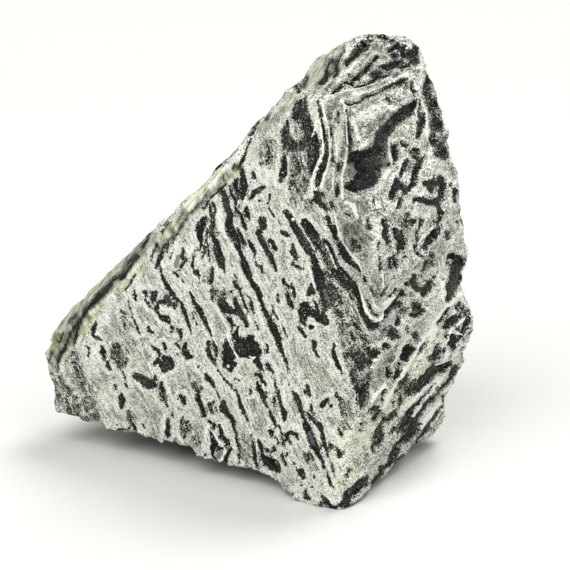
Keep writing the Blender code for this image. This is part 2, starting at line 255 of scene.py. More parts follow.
FOOT_BLACK = [
    [(367, 476, 2), (364, 482, 5.6), (359, 486, 5.8), (354, 491, 5.2), (349, 496, 4.8), (347, 502, 4.6),
     (347, 507, 3.2)],
    [(321, 494, 0.6), (324, 499, 1.8), (328, 504, 2.8), (331, 508, 1.8)],
    [(335, 508, 1.2), (341, 504, 1.3)], [(321, 505, 1.9)],
    [(305, 491, 1.2), (306, 497, 2.7), (309, 499, 1.4)], [(293, 493, 1.1)], [(301, 485, 1.2)],
    [(312, 487, 0.8)], [(327, 472, 1.2), (328, 478, 1.3), (330, 483, 1.8), (333, 488, 1)],
    [(331, 463, 0.9), (333, 470, 1.3), (334, 476, 0.7)], [(350, 469, 1.2), (347, 475, 2)],
    [(336, 447, 1.1), (339, 454, 2.8), (343, 453, 2.4), (340, 457, 1.8)], [(328, 457, 1.1)],
    [(339, 430, 1.7), (342, 435, 2.2)], [(345, 423, 1.6), (348, 428, 1.8)],
    [(336, 394, 1.7), (337, 398, 1)], [(340, 398, 1.3), (340, 404, 0.9), (342, 412, 1), (343, 418, 0.9)],
    [(331, 445, 0.9), (331, 449, 0.7)], [(301, 472, 3.5), (303, 477, 2.6)], [(297, 470, 1)],
    [(307, 454, 1.1), (309, 459, 1)], [(314, 477, 1.2)],
]
# On the smooth break at the front left: near the left end, its upper part and its middle.
LEFT_FACE_BLACK = [
    [(293, 392, 1.3), (296, 396, 3.2), (299, 403, 2.6), (301, 410, 2.2), (303, 417, 2), (306, 425, 3),
     (309, 433, 3.9), (312, 442, 4), (316, 450, 3.6), (319, 456, 2.4), (323, 462, 1.4), (324, 468, 0.9)],
    [(307, 412, 0.7), (310, 416, 1.7), (314, 421, 2), (319, 425, 2.3), (322, 431, 2), (323, 438, 2.1),
     (325, 446, 2.4), (327, 453, 1.3)],
    [(307, 387, 2.3), (307, 392, 3.1), (309, 395, 1.9)],
    [(311, 404, 0.9), (311, 409, 1.4), (314, 414, 0.7)],
    [(322, 406, 2.3), (325, 402, 2.3), (328, 399, 1.6)], [(331, 406, 1.3)], [(327, 412, 1)],
    [(256, 374, 1.4), (259, 375, 2.4), (262, 380, 1.5), (265, 385, 1)],
    [(257, 383, 1.3), (260, 390, 2.8), (263, 397, 2.8), (265, 404, 1.6), (269, 409, 0.8),
     (270, 413, 1.4), (273, 420, 2.1), (276, 427, 0.9)],
    [(266, 392, 0.8), (267, 397, 0.7)], [(275, 380, 0.9), (275, 386, 0.8)],
    [(278, 391, 1.4), (279, 399, 1.8), (281, 406, 1.9), (284, 413, 2.9), (284, 419, 2)],
    [(273, 394, 0.4), (274, 401, 0.7), (275, 410, 0.6)], [(250, 388, 0.6), (250, 394, 0.8)],
    [(289, 372, 0.8)], [(289, 384, 1)], [(269, 431, 1.3), (272, 432, 2.2), (271, 437, 1.1)],
    [(286, 439, 2.6), (286, 435, 1.9), (291, 432, 1.3), (296, 435, 2.5), (298, 439, 1.3)],
    [(290, 443, 1.6)], [(279, 425, 0.6), (281, 432, 0.9), (282, 438, 1), (284, 446, 0.9)],
    [(277, 439, 0.8), (278, 444, 0.8)], [(258, 441, 1.3), (261, 447, 3), (262, 452, 1.2)],
    [(267, 449, 1), (271, 452, 1.7), (275, 450, 1.3), (273, 447, 0.9)],
    [(262, 457, 2.8), (267, 462, 5), (273, 465, 5.8), (277, 468, 4), (279, 472, 1.3)],
    [(251, 434, 0.6), (252, 441, 1.3), (254, 449, 2), (255, 457, 2.5), (256, 464, 1.6), (258, 470, 0.8)],
    [(282, 454, 1), (283, 460, 1.4), (285, 465, 0.7)], [(287, 453, 0.9), (287, 456, 0.7)],
    [(292, 460, 0.5), (295, 464, 0.7)],
    [(223, 402, 2.2), (223, 408, 3.8), (226, 413, 3), (230, 417, 2.3), (233, 421, 1.9), (234, 428, 1.6),
     (236, 435, 1.7), (237, 442, 1.5), (239, 447, 1.7), (239, 455, 0.8), (239, 463, 0.8)],
    [(217, 392, 0.8), (219, 399, 0.9)],
    [(236, 391, 1.1), (238, 396, 1.4), (239, 402, 1.9), (241, 407, 2.2), (244, 413, 1.8), (247, 421, 1)],
    [(251, 387, 0.6), (251, 393, 1)], [(213, 402, 1.4), (209, 405, 2), (211, 411, 1.9)],
    [(198, 391, 2.2), (198, 398, 3), (200, 404, 2.3), (203, 410, 2.3), (204, 416, 2.5)], [(195, 384, 1)],
    [(202, 388, 0.8)], [(209, 421, 1.2)], [(213, 424, 1.4), (214, 429, 1)],
    [(219, 425, 1.1), (221, 431, 2.2), (221, 438, 1.3)],
    [(210, 430, 1.3), (213, 438, 2.6), (215, 445, 3.4), (212, 449, 2.4), (213, 455, 1.4)],
    [(219, 449, 1.8), (224, 447, 1.2)], [(224, 436, 1.2), (226, 440, 2.8), (228, 444, 2.4)],
    [(230, 450, 1.6), (227, 456, 1.8), (225, 463, 1.9)], [(214, 457, 1), (217, 461, 1.1)],
    [(183, 417, 0.7), (181, 423, 1.4), (181, 429, 1.1), (181, 435, 0.7)], [(187, 422, 1.2)],
    [(187, 429, 0.8), (184, 437, 1.3)], [(205, 455, 1)],
    [(168, 419, 1.2), (167, 427, 3.2), (168, 434, 2.4), (168, 438, 0.8)],
    [(172, 413, 0.9), (172, 418, 0.7)], [(181, 396, 2.2), (183, 400, 3), (185, 404, 1.4)],
    [(178, 399, 0.7)], [(161, 383, 2), (162, 390, 3.2), (164, 398, 2.8), (167, 407, 1)],
    [(135, 375, 2.2), (138, 377, 3.6), (143, 380, 4.2), (148, 384, 5.4), (153, 385, 4)],
    [(154, 380, 2), (156, 376, 1)], [(121, 395, 1.8), (122, 401, 3.6), (121, 407, 2.2)],
    [(115, 385, 1.3), (116, 389, 0.7)], [(125, 383, 0.8), (128, 388, 0.8)],
    [(128, 411, 0.9), (129, 417, 1.3), (131, 422, 1.6), (134, 426, 1.7), (135, 431, 1.4)],
    [(143, 424, 0.8), (145, 428, 1.1)], [(129, 428, 0.9)], [(117, 425, 0.9)],
    [(93, 415, 1.4), (96, 419, 1.2)], [(66, 400, 0.8), (68, 406, 1.2), (71, 412, 1)], [(76, 398, 0.6)],
    [(74, 362, 0.8), (76, 370, 1.2), (79, 378, 1)], [(82, 383, 1.2), (83, 391, 1)], [(88, 398, 0.9)],
    [(52, 381, 1.2), (55, 387, 1)],
]
LEFT_UPPER_BLACK = [
    [(181, 303, 1.2), (184, 312, 2.2), (187, 320, 1.6), (189, 326, 0.7), (191, 334, 0.5)],
    [(190, 292, 0.9), (193, 298, 1.9), (194, 303, 2.3), (197, 307, 3.2), (201, 313, 2.8),
     (204, 319, 2.4), (207, 326, 1.8), (210, 332, 0.7), (212, 337, 0.5)],
    [(192, 313, 0.4), (194, 319, 0.6), (197, 325, 0.7)], [(213, 292, 2.4), (212, 299, 1.6)],
    [(223, 293, 2.4), (221, 302, 4.4), (226, 309, 4.6), (232, 312, 2.8)],
    [(226, 317, 0.8), (230, 320, 2.2), (233, 325, 1.5), (231, 330, 0.6)],
    [(235, 298, 1.7), (236, 305, 2.5), (240, 313, 3.1), (244, 319, 2.7), (247, 326, 1.6)],
    [(240, 291, 0.6), (244, 303, 1.4), (248, 312, 0.9)], [(247, 296, 0.9), (250, 299, 0.7)],
    [(251, 302, 1.3), (253, 311, 1.3), (253, 316, 1.1)],
    [(272, 304, 0.4), (273, 311, 0.7), (277, 318, 0.9)],
    [(281, 323, 0.7), (284, 330, 0.9), (287, 338, 0.5)], [(277, 294, 0.9), (278, 302, 1.3)],
    [(255, 321, 0.5), (258, 329, 0.6)], [(238, 327, 1.3), (236, 332, 1.8)],
    [(235, 336, 3.3), (238, 346, 5), (243, 349, 9), (250, 349, 9.4), (256, 352, 6.2)],
    [(243, 341, 3.6), (251, 338, 3.2)], [(256, 361, 3.2), (260, 366, 3.2), (262, 370, 1.3)],
    [(226, 340, 1.2), (226, 347, 3.6), (228, 355, 6), (228, 362, 5.4), (224, 366, 1.8)],
    [(230, 370, 2.6), (234, 364, 2.4)], [(267, 364, 1.7), (270, 369, 2.3), (273, 373, 1.3)],
    [(267, 345, 1), (267, 352, 1.6)],
    [(208, 342, 1.3), (208, 350, 2.3), (211, 358, 2.8), (215, 364, 1.9)],
    [(213, 342, 1.1), (216, 350, 1.7), (217, 357, 0.8)],
    [(218, 370, 0.5), (223, 377, 1), (227, 382, 1.4), (232, 388, 1)],
    [(206, 374, 1), (208, 378, 2.7), (212, 383, 2.3), (214, 387, 1.3)], [(198, 367, 0.9)],
    [(236, 379, 0.9), (239, 380, 0.9)],
    [(185, 343, 1.7), (184, 350, 2.7), (187, 356, 3.6), (191, 357, 1.8)], [(181, 330, 1.3)],
    [(181, 338, 1.3)], [(96, 322, 0.9), (94, 329, 2.7), (93, 335, 1.4), (97, 338, 1.4), (101, 340, 0.7)],
    [(87, 346, 0.9), (89, 348, 0.9)], [(89, 353, 0.7), (88, 356, 0.7)],
    [(102, 347, 1.2), (103, 352, 3), (104, 358, 1.7)],
    [(107, 362, 1.5), (108, 366, 2.5), (110, 369, 1.7)], [(117, 346, 3), (116, 353, 4.2), (113, 357, 3)],
    [(119, 362, 1.3), (121, 367, 1), (125, 364, 1.3), (127, 360, 0.7)],
    [(123, 372, 0.6), (125, 378, 0.6)], [(134, 291, 0.7), (135, 297, 1.7), (136, 301, 1)],
    [(128, 301, 0.8), (130, 308, 0.8), (133, 317, 0.6), (136, 325, 0.9), (139, 333, 1)],
    [(121, 311, 0.9), (124, 313, 1)], [(123, 320, 1.1), (126, 325, 1.1)],
    [(145, 292, 2.1), (147, 296, 1.1)], [(145, 300, 0.7), (148, 304, 0.9), (151, 308, 0.8)],
    [(154, 294, 3.1), (153, 299, 2.6)],
    [(161, 268, 0.7), (161, 274, 1.2), (164, 281, 1.9), (168, 288, 2.6), (171, 293, 2.9), (176, 299, 2),
     (181, 303, 1.4), (183, 310, 1.7), (186, 318, 1.3), (189, 325, 0.7)],
    [(157, 308, 1.8), (158, 303, 1.3), (163, 302, 2.6), (167, 300, 3), (165, 297, 2)], [(168, 305, 1.6)],
    [(174, 305, 3.2), (175, 309, 1.3)],
    [(155, 308, 1), (158, 313, 1.6), (162, 318, 1.9), (166, 319, 3.6), (168, 321, 2)],
    [(171, 326, 1.4), (173, 328, 0.9)], [(170, 331, 0.9), (173, 332, 0.7)],
    [(178, 330, 1.3), (181, 334, 1.3)], [(148, 327, 0.9), (149, 331, 0.9), (153, 333, 1)],
    [(176, 344, 1.7), (179, 347, 1)], [(181, 340, 1)], [(163, 343, 1.3), (165, 348, 2)],
    [(152, 346, 0.9), (155, 349, 1.8), (159, 351, 1.8), (160, 356, 1.2)],
    [(163, 358, 2.8), (168, 361, 5.6), (170, 365, 4.6), (164, 370, 2.8), (161, 364, 2.6)],
    [(158, 361, 2), (154, 364, 1.3)], [(178, 354, 1.4)], [(175, 273, 1.6), (178, 276, 1.6)],
    [(182, 280, 0.9), (184, 283, 1)],
]
CENTRE_BLACK = [
    [(223, 193, 2.7), (226, 201, 3.9), (227, 208, 3.4), (230, 214, 2.8), (229, 221, 3.8),
     (229, 227, 4.4), (232, 233, 4.8), (236, 240, 4.2), (238, 247, 3.2), (240, 252, 2), (243, 260, 2.2),
     (245, 266, 3.8), (248, 274, 3.5), (251, 281, 2.6), (255, 287, 3), (259, 294, 3), (261, 301, 2.2),
     (263, 308, 2.4), (267, 315, 2.8), (270, 322, 3.4), (274, 330, 3.5), (278, 338, 2.9),
     (279, 345, 2.8), (282, 353, 1.8), (286, 362, 1.3), (288, 368, 1)],
    [(242, 169, 1.3), (243, 177, 2.8), (244, 186, 3.6), (243, 194, 2.9), (242, 200, 0.9)],
    [(236, 180, 1.6), (235, 185, 2.7), (238, 191, 1.9), (238, 198, 1.8)],
    [(230, 187, 0.9), (232, 194, 1.8), (235, 200, 1.2)], [(237, 203, 1), (236, 209, 1), (235, 217, 0.8)],
    [(239, 205, 1), (239, 212, 0.8)], [(252, 172, 1.8), (254, 177, 2.3)],
    [(264, 187, 1.8), (259, 190, 2.8), (254, 193, 2.8), (251, 198, 1.8)],
    [(269, 150, 0.8), (268, 157, 1.4), (267, 164, 1.3)], [(260, 164, 1.2)],
    [(288, 119, 0.7), (287, 125, 2.2), (285, 131, 3.8), (284, 137, 3.6), (287, 143, 3.8), (291, 149, 3)],
    [(299, 103, 3), (297, 111, 4), (294, 117, 3)],
    [(284, 158, 2.2), (284, 166, 3.3), (283, 173, 3.6), (281, 181, 2.2)], [(292, 183, 2)],
    [(289, 189, 1)],
    [(212, 202, 0.9), (210, 208, 1), (211, 218, 0.9), (212, 228, 1.2), (212, 236, 1.7), (216, 244, 3.8),
     (217, 251, 4.3), (220, 259, 4.2), (222, 265, 3), (225, 272, 0.6)],
    [(214, 204, 1), (215, 211, 1.4), (214, 218, 0.9), (214, 227, 0.9), (217, 233, 0.9)],
    [(204, 219, 2.7), (202, 224, 4.6), (199, 230, 4.2), (200, 237, 2.6), (201, 244, 1.1),
     (200, 250, 0.7)],
    [(207, 229, 0.5), (207, 240, 0.6), (208, 250, 0.8), (210, 261, 0.8)],
    [(204, 243, 0.6), (205, 250, 0.9), (202, 258, 0.6)],
    [(195, 250, 0.6), (193, 259, 0.8), (192, 265, 1.2), (195, 275, 0.9)],
    [(197, 270, 0.6), (199, 276, 1), (199, 283, 0.8)],
    [(212, 269, 1.7), (212, 275, 1.4), (211, 282, 1.3)], [(205, 283, 0.9)],
    [(183, 249, 1), (182, 257, 2)], [(186, 260, 1.4), (182, 265, 1.5), (179, 270, 0.8)],
    [(234, 275, 1.2), (237, 279, 0.9)],
    [(233, 282, 0.9), (236, 286, 1.7), (239, 289, 1.6), (241, 295, 0.8)], [(231, 292, 1.1)],
    [(241, 215, 1.7), (243, 222, 2.2), (246, 229, 1.4)],
    [(246, 208, 2.2), (247, 214, 2.7), (249, 219, 1)],
    [(238, 228, 0.7), (241, 235, 1.4), (243, 241, 1.2), (245, 246, 0.5)],
    [(248, 240, 0.9), (251, 245, 2), (254, 251, 1.9), (255, 257, 0.8), (257, 267, 0.4)],
    [(270, 195, 1.2), (268, 203, 0.8), (269, 209, 1.2), (274, 217, 0.6)],
    [(262, 221, 4.6), (263, 226, 4.2)],
    [(258, 232, 2.3), (261, 239, 3), (264, 245, 2.8), (267, 251, 2.6), (271, 257, 2.6), (274, 264, 1.8),
     (276, 271, 0.7)],
    [(270, 240, 1.3), (273, 245, 2.2), (276, 249, 1.5)], [(261, 267, 2), (262, 272, 0.8)],
    [(266, 274, 1.2), (268, 277, 0.8)], [(281, 232, 1.8), (285, 233, 2.3), (290, 237, 1.6)],
    [(285, 212, 2.2), (290, 217, 3), (294, 226, 3.4), (299, 234, 4.2), (304, 242, 4.2), (308, 249, 3.8),
     (312, 256, 2.6)],
    [(304, 222, 3.4), (308, 228, 5.4), (313, 235, 4.8), (317, 242, 4.4), (320, 248, 2.8)],
    [(325, 241, 2.4), (328, 247, 3)], [(293, 245, 1.3), (293, 252, 2.8), (296, 258, 2.4)],
    [(292, 264, 1.4), (297, 267, 1.6), (303, 269, 0.9)],
    [(283, 279, 1.2), (285, 284, 1.6), (289, 287, 1.2)],
    [(287, 293, 1.8), (289, 301, 2.6), (292, 307, 1.6)], [(276, 297, 0.9)], [(260, 201, 1.2)],
]
# Along the strip at the upper left.
SHOULDER_BLACK = [
    [(296, 86, 2), (298, 91, 1.8)], [(307, 77, 1), (303, 86, 1.2)], [(267, 113, 0.8), (266, 119, 0.9)],
    [(258, 122, 0.8), (254, 130, 1.6), (250, 136, 0.9)],
    [(252, 139, 0.6), (246, 148, 0.9), (244, 156, 1.8), (241, 163, 1.6), (238, 169, 1.1)],
    [(235, 164, 1.3), (233, 168, 1.1)], [(226, 184, 0.9), (222, 190, 0.8)],
    [(224, 186, 0.8), (218, 191, 1.2)],
    [(230, 155, 1.2), (222, 163, 1.6), (212, 171, 1.6), (205, 178, 1)],
    [(208, 190, 0.7), (203, 198, 0.8), (197, 206, 0.9), (190, 213, 0.7)],
    [(200, 182, 0.6), (190, 194, 0.7), (180, 206, 0.5)], [(168, 222, 0.8), (162, 232, 0.7)],
    [(176, 230, 0.5), (166, 244, 0.6), (160, 252, 0.6)],
    [(217, 192, 0.7), (211, 198, 0.9), (204, 208, 0.7)], [(225, 173, 0.6), (219, 181, 0.6)],
    [(183, 211, 1.3), (181, 217, 1.4), (177, 223, 1.2), (171, 232, 0.8)],
    [(189, 212, 0.8), (184, 221, 0.8), (176, 236, 0.6), (173, 243, 0.6)],
    [(169, 241, 0.7), (167, 250, 1)], [(172, 253, 1), (170, 258, 1)],
    [(157, 245, 1.2), (153, 252, 1), (151, 261, 0.7)],
    [(162, 253, 2.3), (159, 260, 2.7), (156, 267, 1.8)],
    [(147, 238, 1.2), (144, 245, 1.6), (142, 250, 1)],
    [(136, 256, 2.6), (131, 262, 3.4), (127, 270, 3.2), (124, 275, 2.6), (121, 279, 1.6)],
    [(110, 284, 2.2), (105, 290, 3.4), (100, 295, 3.4), (94, 302, 2.6), (88, 308, 1.8), (84, 314, 1.6),
     (80, 322, 1.6)],
    [(80, 322, 1), (77, 330, 1.5), (76, 338, 1.2), (74, 345, 0.8)], [(120, 275, 0.9), (112, 280, 1.4)],
    [(82, 318, 0.6), (76, 325, 0.7), (70, 334, 1), (67, 342, 1.5), (64, 350, 1.6), (60, 355, 1.4),
     (58, 362, 1.1), (58, 370, 0.8)],
    [(63, 334, 0.5), (60, 342, 0.6)], [(76, 315, 0.5), (70, 322, 0.6)], [(52, 352, 0.4), (50, 360, 0.5)],
    [(135, 275, 0.7), (130, 284, 0.8), (125, 290, 0.6)],
]
# The cap's crevices are among these, and their black is painted shade.
BLACK = (
    CAP_PATCHES + CAP_CREVICES_PAINTED_SHADE + KITE_BLACK_AND_SHADE + KITE_FOOT_BLACK + UPPER_RIGHT_BLACK + LOWER_RIGHT_BLACK
    + FOOT_BLACK + LEFT_FACE_BLACK + LEFT_UPPER_BLACK + CENTRE_BLACK + SHOULDER_BLACK
)
# Where the black is loose grains in the ground, and not a solid band.
PEPPER = [
    [(347, 60, 3), (362, 46, 4), (372, 37, 4), (392, 40, 3)], [(336, 64, 3), (325, 78, 2)],
    [(396, 101, 4)], [(394, 56, 3)], [(380, 150, 8), (372, 170, 9)],
    [(410, 108, 6), (398, 122, 7), (382, 135, 7)],
    [(55, 378, 8), (62, 395, 10), (76, 408, 10), (92, 412, 8)],
    [(300, 112, 8), (303, 130, 9), (306, 150, 8), (303, 175, 8), (298, 195, 7)],
    [(286, 128, 4), (285, 150, 5)], [(308, 205, 6)],
    [(303, 105, 5), (299, 120, 8), (299, 135, 9), (299, 150, 8), (297, 165, 7), (295, 180, 6)],
    [(268, 145, 6), (268, 158, 7), (266, 164, 6)], [(346, 124, 3), (348, 150, 3), (348, 160, 3)],
    [(322, 247, 4), (329, 262, 6), (336, 280, 10), (341, 300, 13), (348, 322, 13), (356, 350, 14),
     (360, 376, 10), (362, 400, 7)],
    [(328, 302, 8)], [(304, 234, 4), (311, 250, 4)], [(392, 332, 7)], [(402, 312, 4)],
    [(430, 82, 6), (430, 95, 6), (434, 112, 6), (438, 125, 7), (437, 140, 6), (442, 153, 7)],
    [(415, 152, 6)], [(408, 166, 6)], [(425, 258, 4), (427, 266, 5), (431, 254, 4)], [(418, 308, 6)],
    [(416, 335, 4)], [(448, 235, 4)], [(405, 222, 6), (412, 218, 5)],
    [(74, 352, 4), (74, 362, 6), (77, 372, 6), (81, 382, 7), (84, 392, 7), (88, 400, 6)],
    [(54, 385, 5), (60, 392, 5)], [(68, 404, 6), (74, 414, 6)], [(94, 416, 7)],
    [(118, 350, 8), (122, 362, 6)], [(214, 292, 5)], [(223, 295, 5)], [(208, 277, 5)], [(187, 428, 6)],
    [(196, 440, 6)], [(345, 425, 6)], [(308, 458, 6)], [(345, 405, 5), (347, 415, 5)],
    [(404, 388, 5), (402, 376, 5)], [(404, 422, 6), (400, 430, 6)], [(418, 388, 6), (427, 380, 5)],
    [(376, 440, 6)], [(125, 318, 6), (127, 326, 5)], [(350, 232, 8), (356, 245, 8)],
    [(245, 440, 6), (245, 455, 5)], [(377, 75, 5)], [(388, 84, 5), (403, 84, 5)], [(366, 45, 5)],
    [(212, 410, 5)], [(196, 386, 6)], [(163, 397, 5)], [(130, 418, 5)],
]
# White threads between the dark bands, and the white lines round the kite. Those round the kite are partly
# painted highlight on the edges of its fine ledges.
PALE_LINES_AND_HIGHLIGHTS = [
    [(333, 208, 0.9), (336, 222, 1.1), (340, 236, 1.1), (345, 245, 1), (351, 254, 1.2), (359, 263, 1.1),
     (362, 272, 1)],
    [(329, 212, 0.7), (333, 224, 0.8)],
    [(300, 225, 0.8), (305, 234, 0.9), (311, 243, 0.9), (316, 252, 0.8)],
    [(307, 260, 0.8), (310, 272, 1), (314, 285, 1), (318, 296, 0.8)],
    [(325, 244, 0.9), (331, 256, 0.8), (336, 268, 0.8)],
    [(370, 292, 0.8), (373, 300, 0.9), (376, 306, 1)],
    [(380, 290, 0.7), (383, 282, 0.8), (383, 270, 0.7)],
    [(316, 121, 0.8), (314, 130, 0.9), (312, 137, 0.8)],
    [(320, 122, 0.8), (321, 132, 1), (323, 146, 1.2), (323, 153, 1.5), (319, 162, 1.6), (315, 171, 1.8),
     (312, 180, 1.6), (312, 190, 1)],
    [(316, 189, 1.6)], [(305, 197, 2.3)], [(303, 203, 0.6), (302, 209, 1.2)], [(293, 219, 1.8)],
    [(325, 228, 1.6)], [(346, 202, 1.6), (354, 206, 2.4), (357, 218, 1.8)], [(356, 197, 1.4)],
    [(415, 82, 0.7), (418, 95, 0.8), (418, 106, 0.8), (415, 114, 0.6), (417, 120, 0.5)],
    [(421, 99, 0.7), (425, 110, 0.8), (427, 122, 0.8), (427, 138, 0.6)],
    [(359, 284, 1), (362, 297, 1.3), (365, 308, 1.4), (370, 317, 1.4), (377, 320, 1.3), (382, 314, 1.2),
     (389, 305, 1), (396, 297, 0.9)],
    [(384, 305, 2), (394, 297, 2)], [(384, 385, 2), (376, 393, 1.6), (370, 402, 1.8)], [(280, 125, 1.8)],
    [(228, 331, 0.8), (227.6, 339, 0.8), (230, 345, 0.9), (234, 351, 0.9), (237, 358, 1)],
    [(228, 366, 1.9)], [(234, 341, 1)], [(249, 356, 0.8), (252, 358, 1.1), (255, 357, 0.8)],
    [(212, 431, 0.8), (217, 439, 0.9), (222, 446, 0.8), (226, 450, 0.8), (222, 459, 0.8), (218, 464, 1),
     (213, 461, 1)],
    [(208, 426, 0.9), (206, 433, 1.6)], [(164, 415, 1.5), (164, 430, 1.5)],
    [(256, 437, 1), (257, 450, 1.1), (258, 462, 1)], [(163, 267, 1.4), (162, 262, 1)], [(352, 60, 0.5)],
    [(356, 64, 1.4), (349, 71, 1.3), (341, 76, 1)],
    [(408, 72, 1.2), (401, 76, 1.2), (393, 80, 0.8), (382, 86, 0.6)], [(405, 61, 1)], [(96, 334, 1.5)],
    # These lines on the kite are partly painted highlight along its ledge edges.
    [(346, 116, 0.9), (346.5, 135, 1), (347, 152, 1.3), (345, 164, 1.6), (342, 176, 1.4),
     (342, 186, 1.6), (342, 197, 1.5)],
    [(321, 101, 0.8), (324, 114, 1), (328, 128, 1), (330, 142, 1.1), (330, 154, 1.2), (328, 166, 1.4),
     (324, 176, 1.5), (321, 187, 1.4)],
    [(335, 134, 0.8), (336, 150, 1), (337, 162, 0.8)],
    [(334, 168, 0.8), (333, 180, 0.9), (333, 192, 0.7)],
    [(341, 101, 1.8), (346, 106, 1.2), (344, 112, 0.8)], [(354, 112, 2)], [(361, 113, 1.8)],
    [(355, 122, 1.2), (356, 130, 1.4), (359, 140, 1.4), (361, 147, 1.6)],
    [(364, 145, 1), (370, 136, 0.6), (376, 128, 0.5)], [(377, 101, 0.8), (385, 98, 0.8)],
    [(320, 98, 0.7), (335, 94, 0.7), (350, 90, 0.8), (364, 87, 0.6), (380, 82, 0.5), (392, 76, 0.6)],
    [(350, 97, 0.4), (362, 94, 0.5), (376, 89, 0.6), (388, 85, 0.4), (400, 78, 0.5), (410, 74, 0.6)],
    [(389, 140, 1), (389, 150, 1.2), (391, 160, 1.2), (391, 166, 1)], [(388, 172, 2.4), (384, 178, 2.2)],
    [(461, 293, 2.4), (455, 299, 3), (446, 307, 2.4), (439, 316, 2), (434, 325, 2.6), (428, 335, 3)],
    [(424, 337, 1.4), (417, 348, 1.6), (410, 359, 1.7), (403, 371, 1.8), (396, 382, 1.8),
     (390, 393, 1.8), (382, 407, 1.8)],
    [(408, 336, 1.2), (399, 352, 1), (389, 368, 0.9)],
    [(436, 330, 1.4), (428, 344, 1.4), (421, 356, 1.6), (414, 366, 1.6)],
    [(468, 330, 1), (462, 342, 1.2), (455, 356, 1.4), (446, 362, 1.6), (436, 365, 1.2)],
    [(446, 372, 1.2), (438, 382, 1.2), (430, 394, 1.2), (422, 404, 1.4), (414, 416, 1.4)],
    [(409, 336, 1.8), (400, 346, 1.4), (394, 354, 0.9)], [(447, 352, 2.4), (443, 360, 2.2)],
    [(452, 329, 1.4), (446, 340, 1.2), (441, 345, 1)], [(457, 325, 1.2), (463, 320, 1), (466, 316, 0.7)],
    [(455, 312, 1), (449, 318, 1)], [(460, 334, 1), (455, 333, 1)],
    [(438, 377, 1.3), (431, 384, 1.4), (424, 390, 1.3), (416, 398, 1.3), (411, 404, 1.3)],
    [(452, 384, 0.8), (443, 392, 0.9)],
    [(440, 398, 1.6), (433, 409, 1.8), (426, 419, 1.8), (421, 428, 1.6)],
    [(443, 409, 1.2), (437, 419, 1.3), (432, 427, 1)], [(424, 371, 1.4), (417, 378, 1.2)],
    [(458, 345, 1), (453, 354, 1.2)],
]
# Where the ground is whiter than elsewhere.
PALE_PATCHES = [
    [(389, 172, 4), (381, 184, 4), (374, 193, 3)], [(404, 128, 6), (395, 137, 5)],
    [(430, 162, 4), (441, 167, 6)], [(375, 236, 3), (374, 255, 4), (374, 270, 3)], [(376, 308, 3)],
    [(390, 208, 3), (396, 204, 1.6)], [(408, 200, 4), (415, 191, 3.4), (424, 193, 2), (434, 195, 1.6)],
    [(438, 187, 0.9)], [(415, 214, 5), (427, 214, 5)], [(433, 165, 5)], [(448, 172, 3), (450, 190, 1.8)],
    [(457, 230, 2.4), (458, 244, 3)], [(450, 245, 4)], [(331, 433, 3.6)],
    [(350, 437, 7), (362, 440, 6), (345, 462, 6)], [(373, 430, 4), (366, 445, 4)],
    [(337, 493, 4), (336, 501, 2)],
    [(236, 158, 3), (226, 167, 4), (214, 180, 5), (198, 197, 5), (182, 216, 4), (168, 236, 3)],
    [(200, 184, 2), (184, 202, 2)], [(178, 245, 3), (170, 262, 2)], [(248, 146, 2), (243, 150, 2)],
    [(92, 313, 3), (98, 308, 3)], [(137, 266, 2.4), (129, 276, 2.4)], [(85, 323, 2)], [(152, 248, 2)],
    [(262, 172, 7), (270, 178, 8)], [(254, 153, 3.4), (253, 165, 3)], [(344, 53, 3)],
    [(362, 58, 2), (354, 66, 3), (346, 73, 3), (338, 79, 2)], [(271, 137, 3)],
    [(283, 395, 3), (285, 384, 2)], [(286, 402, 3)], [(112, 300, 6), (105, 320, 6)],
    [(95, 350, 4), (96, 370, 4)], [(104, 395, 5), (110, 405, 5)], [(60, 366, 1.5), (66, 382, 3)],
    [(140, 286, 4)], [(191, 235, 3), (190, 250, 3)], [(219, 207, 2.4), (219, 222, 2.6), (225, 235, 2)],
    [(232, 245, 2), (229, 252, 3)], [(372, 53, 3)], [(346, 52, 3), (350, 56, 2)],
    [(313, 322, 3), (309, 319, 1.6)], [(358, 120, 5), (368, 114, 7), (381, 108, 6)], [(360, 136, 4)],
    [(342, 118, 4), (336, 150, 5)], [(355, 95, 3), (370, 92, 2)], [(402, 130, 7), (394, 138, 5)],
    [(443, 272, 5), (440, 290, 6), (436, 305, 7), (431, 320, 6), (427, 334, 5)],
    [(430, 350, 4), (417, 366, 4), (412, 376, 3)], [(407, 397, 3), (408, 404, 4), (402, 412, 3)],
    [(456, 358, 4)], [(446, 345, 3)],
]
# Where the ground is tinted: cream, yellow-green and olive. The first two olive spots, at the lower right,
# the second on its bottom edge, are painted shade.
CREAM = [
    [(352, 436, 16), (347, 462, 15), (340, 488, 12)],
    [(375, 432, 13), (390, 408, 11), (403, 386, 9), (418, 360, 7), (436, 338, 5)], [(438, 268, 6)],
    [(405, 402, 6)],
]
YELLOW_GREEN = [
    [(238, 168, 1), (226, 181, 1.2), (212, 196, 1), (200, 212, 1)],
    [(222, 170, 1), (206, 186, 1.2), (190, 204, 1.2), (176, 222, 1.2), (164, 240, 1.4)],
    [(248, 147, 2.4), (244, 158, 1.6), (238, 171, 1.8), (230, 178, 1.6)], [(206, 183, 2), (186, 198, 2)],
    [(174, 240, 1.4)],
    [(146, 260, 1.6), (140, 268, 2), (134, 275, 2.2), (128, 282, 2), (123, 288, 2), (118, 297, 1.6)],
    [(396, 283, 1.8)], [(100, 305, 1.6), (92, 316, 2), (86, 326, 2.4), (83, 336, 1.4)],
    [(75, 330, 1.2), (72, 340, 1.4), (69, 348, 1.4), (64, 358, 1.2)], [(58, 336, 3), (53, 348, 3)],
]
OLIVE_AND_SHADE = [
    [(435, 401, 1.4), (440, 397, 1)], [(434, 430, 3)], [(294, 402, 2.6), (296, 412, 2)],
    [(240, 262, 1.8)], [(252, 284, 1.5)], [(265, 315, 1.3)], [(278, 350, 2)],
]
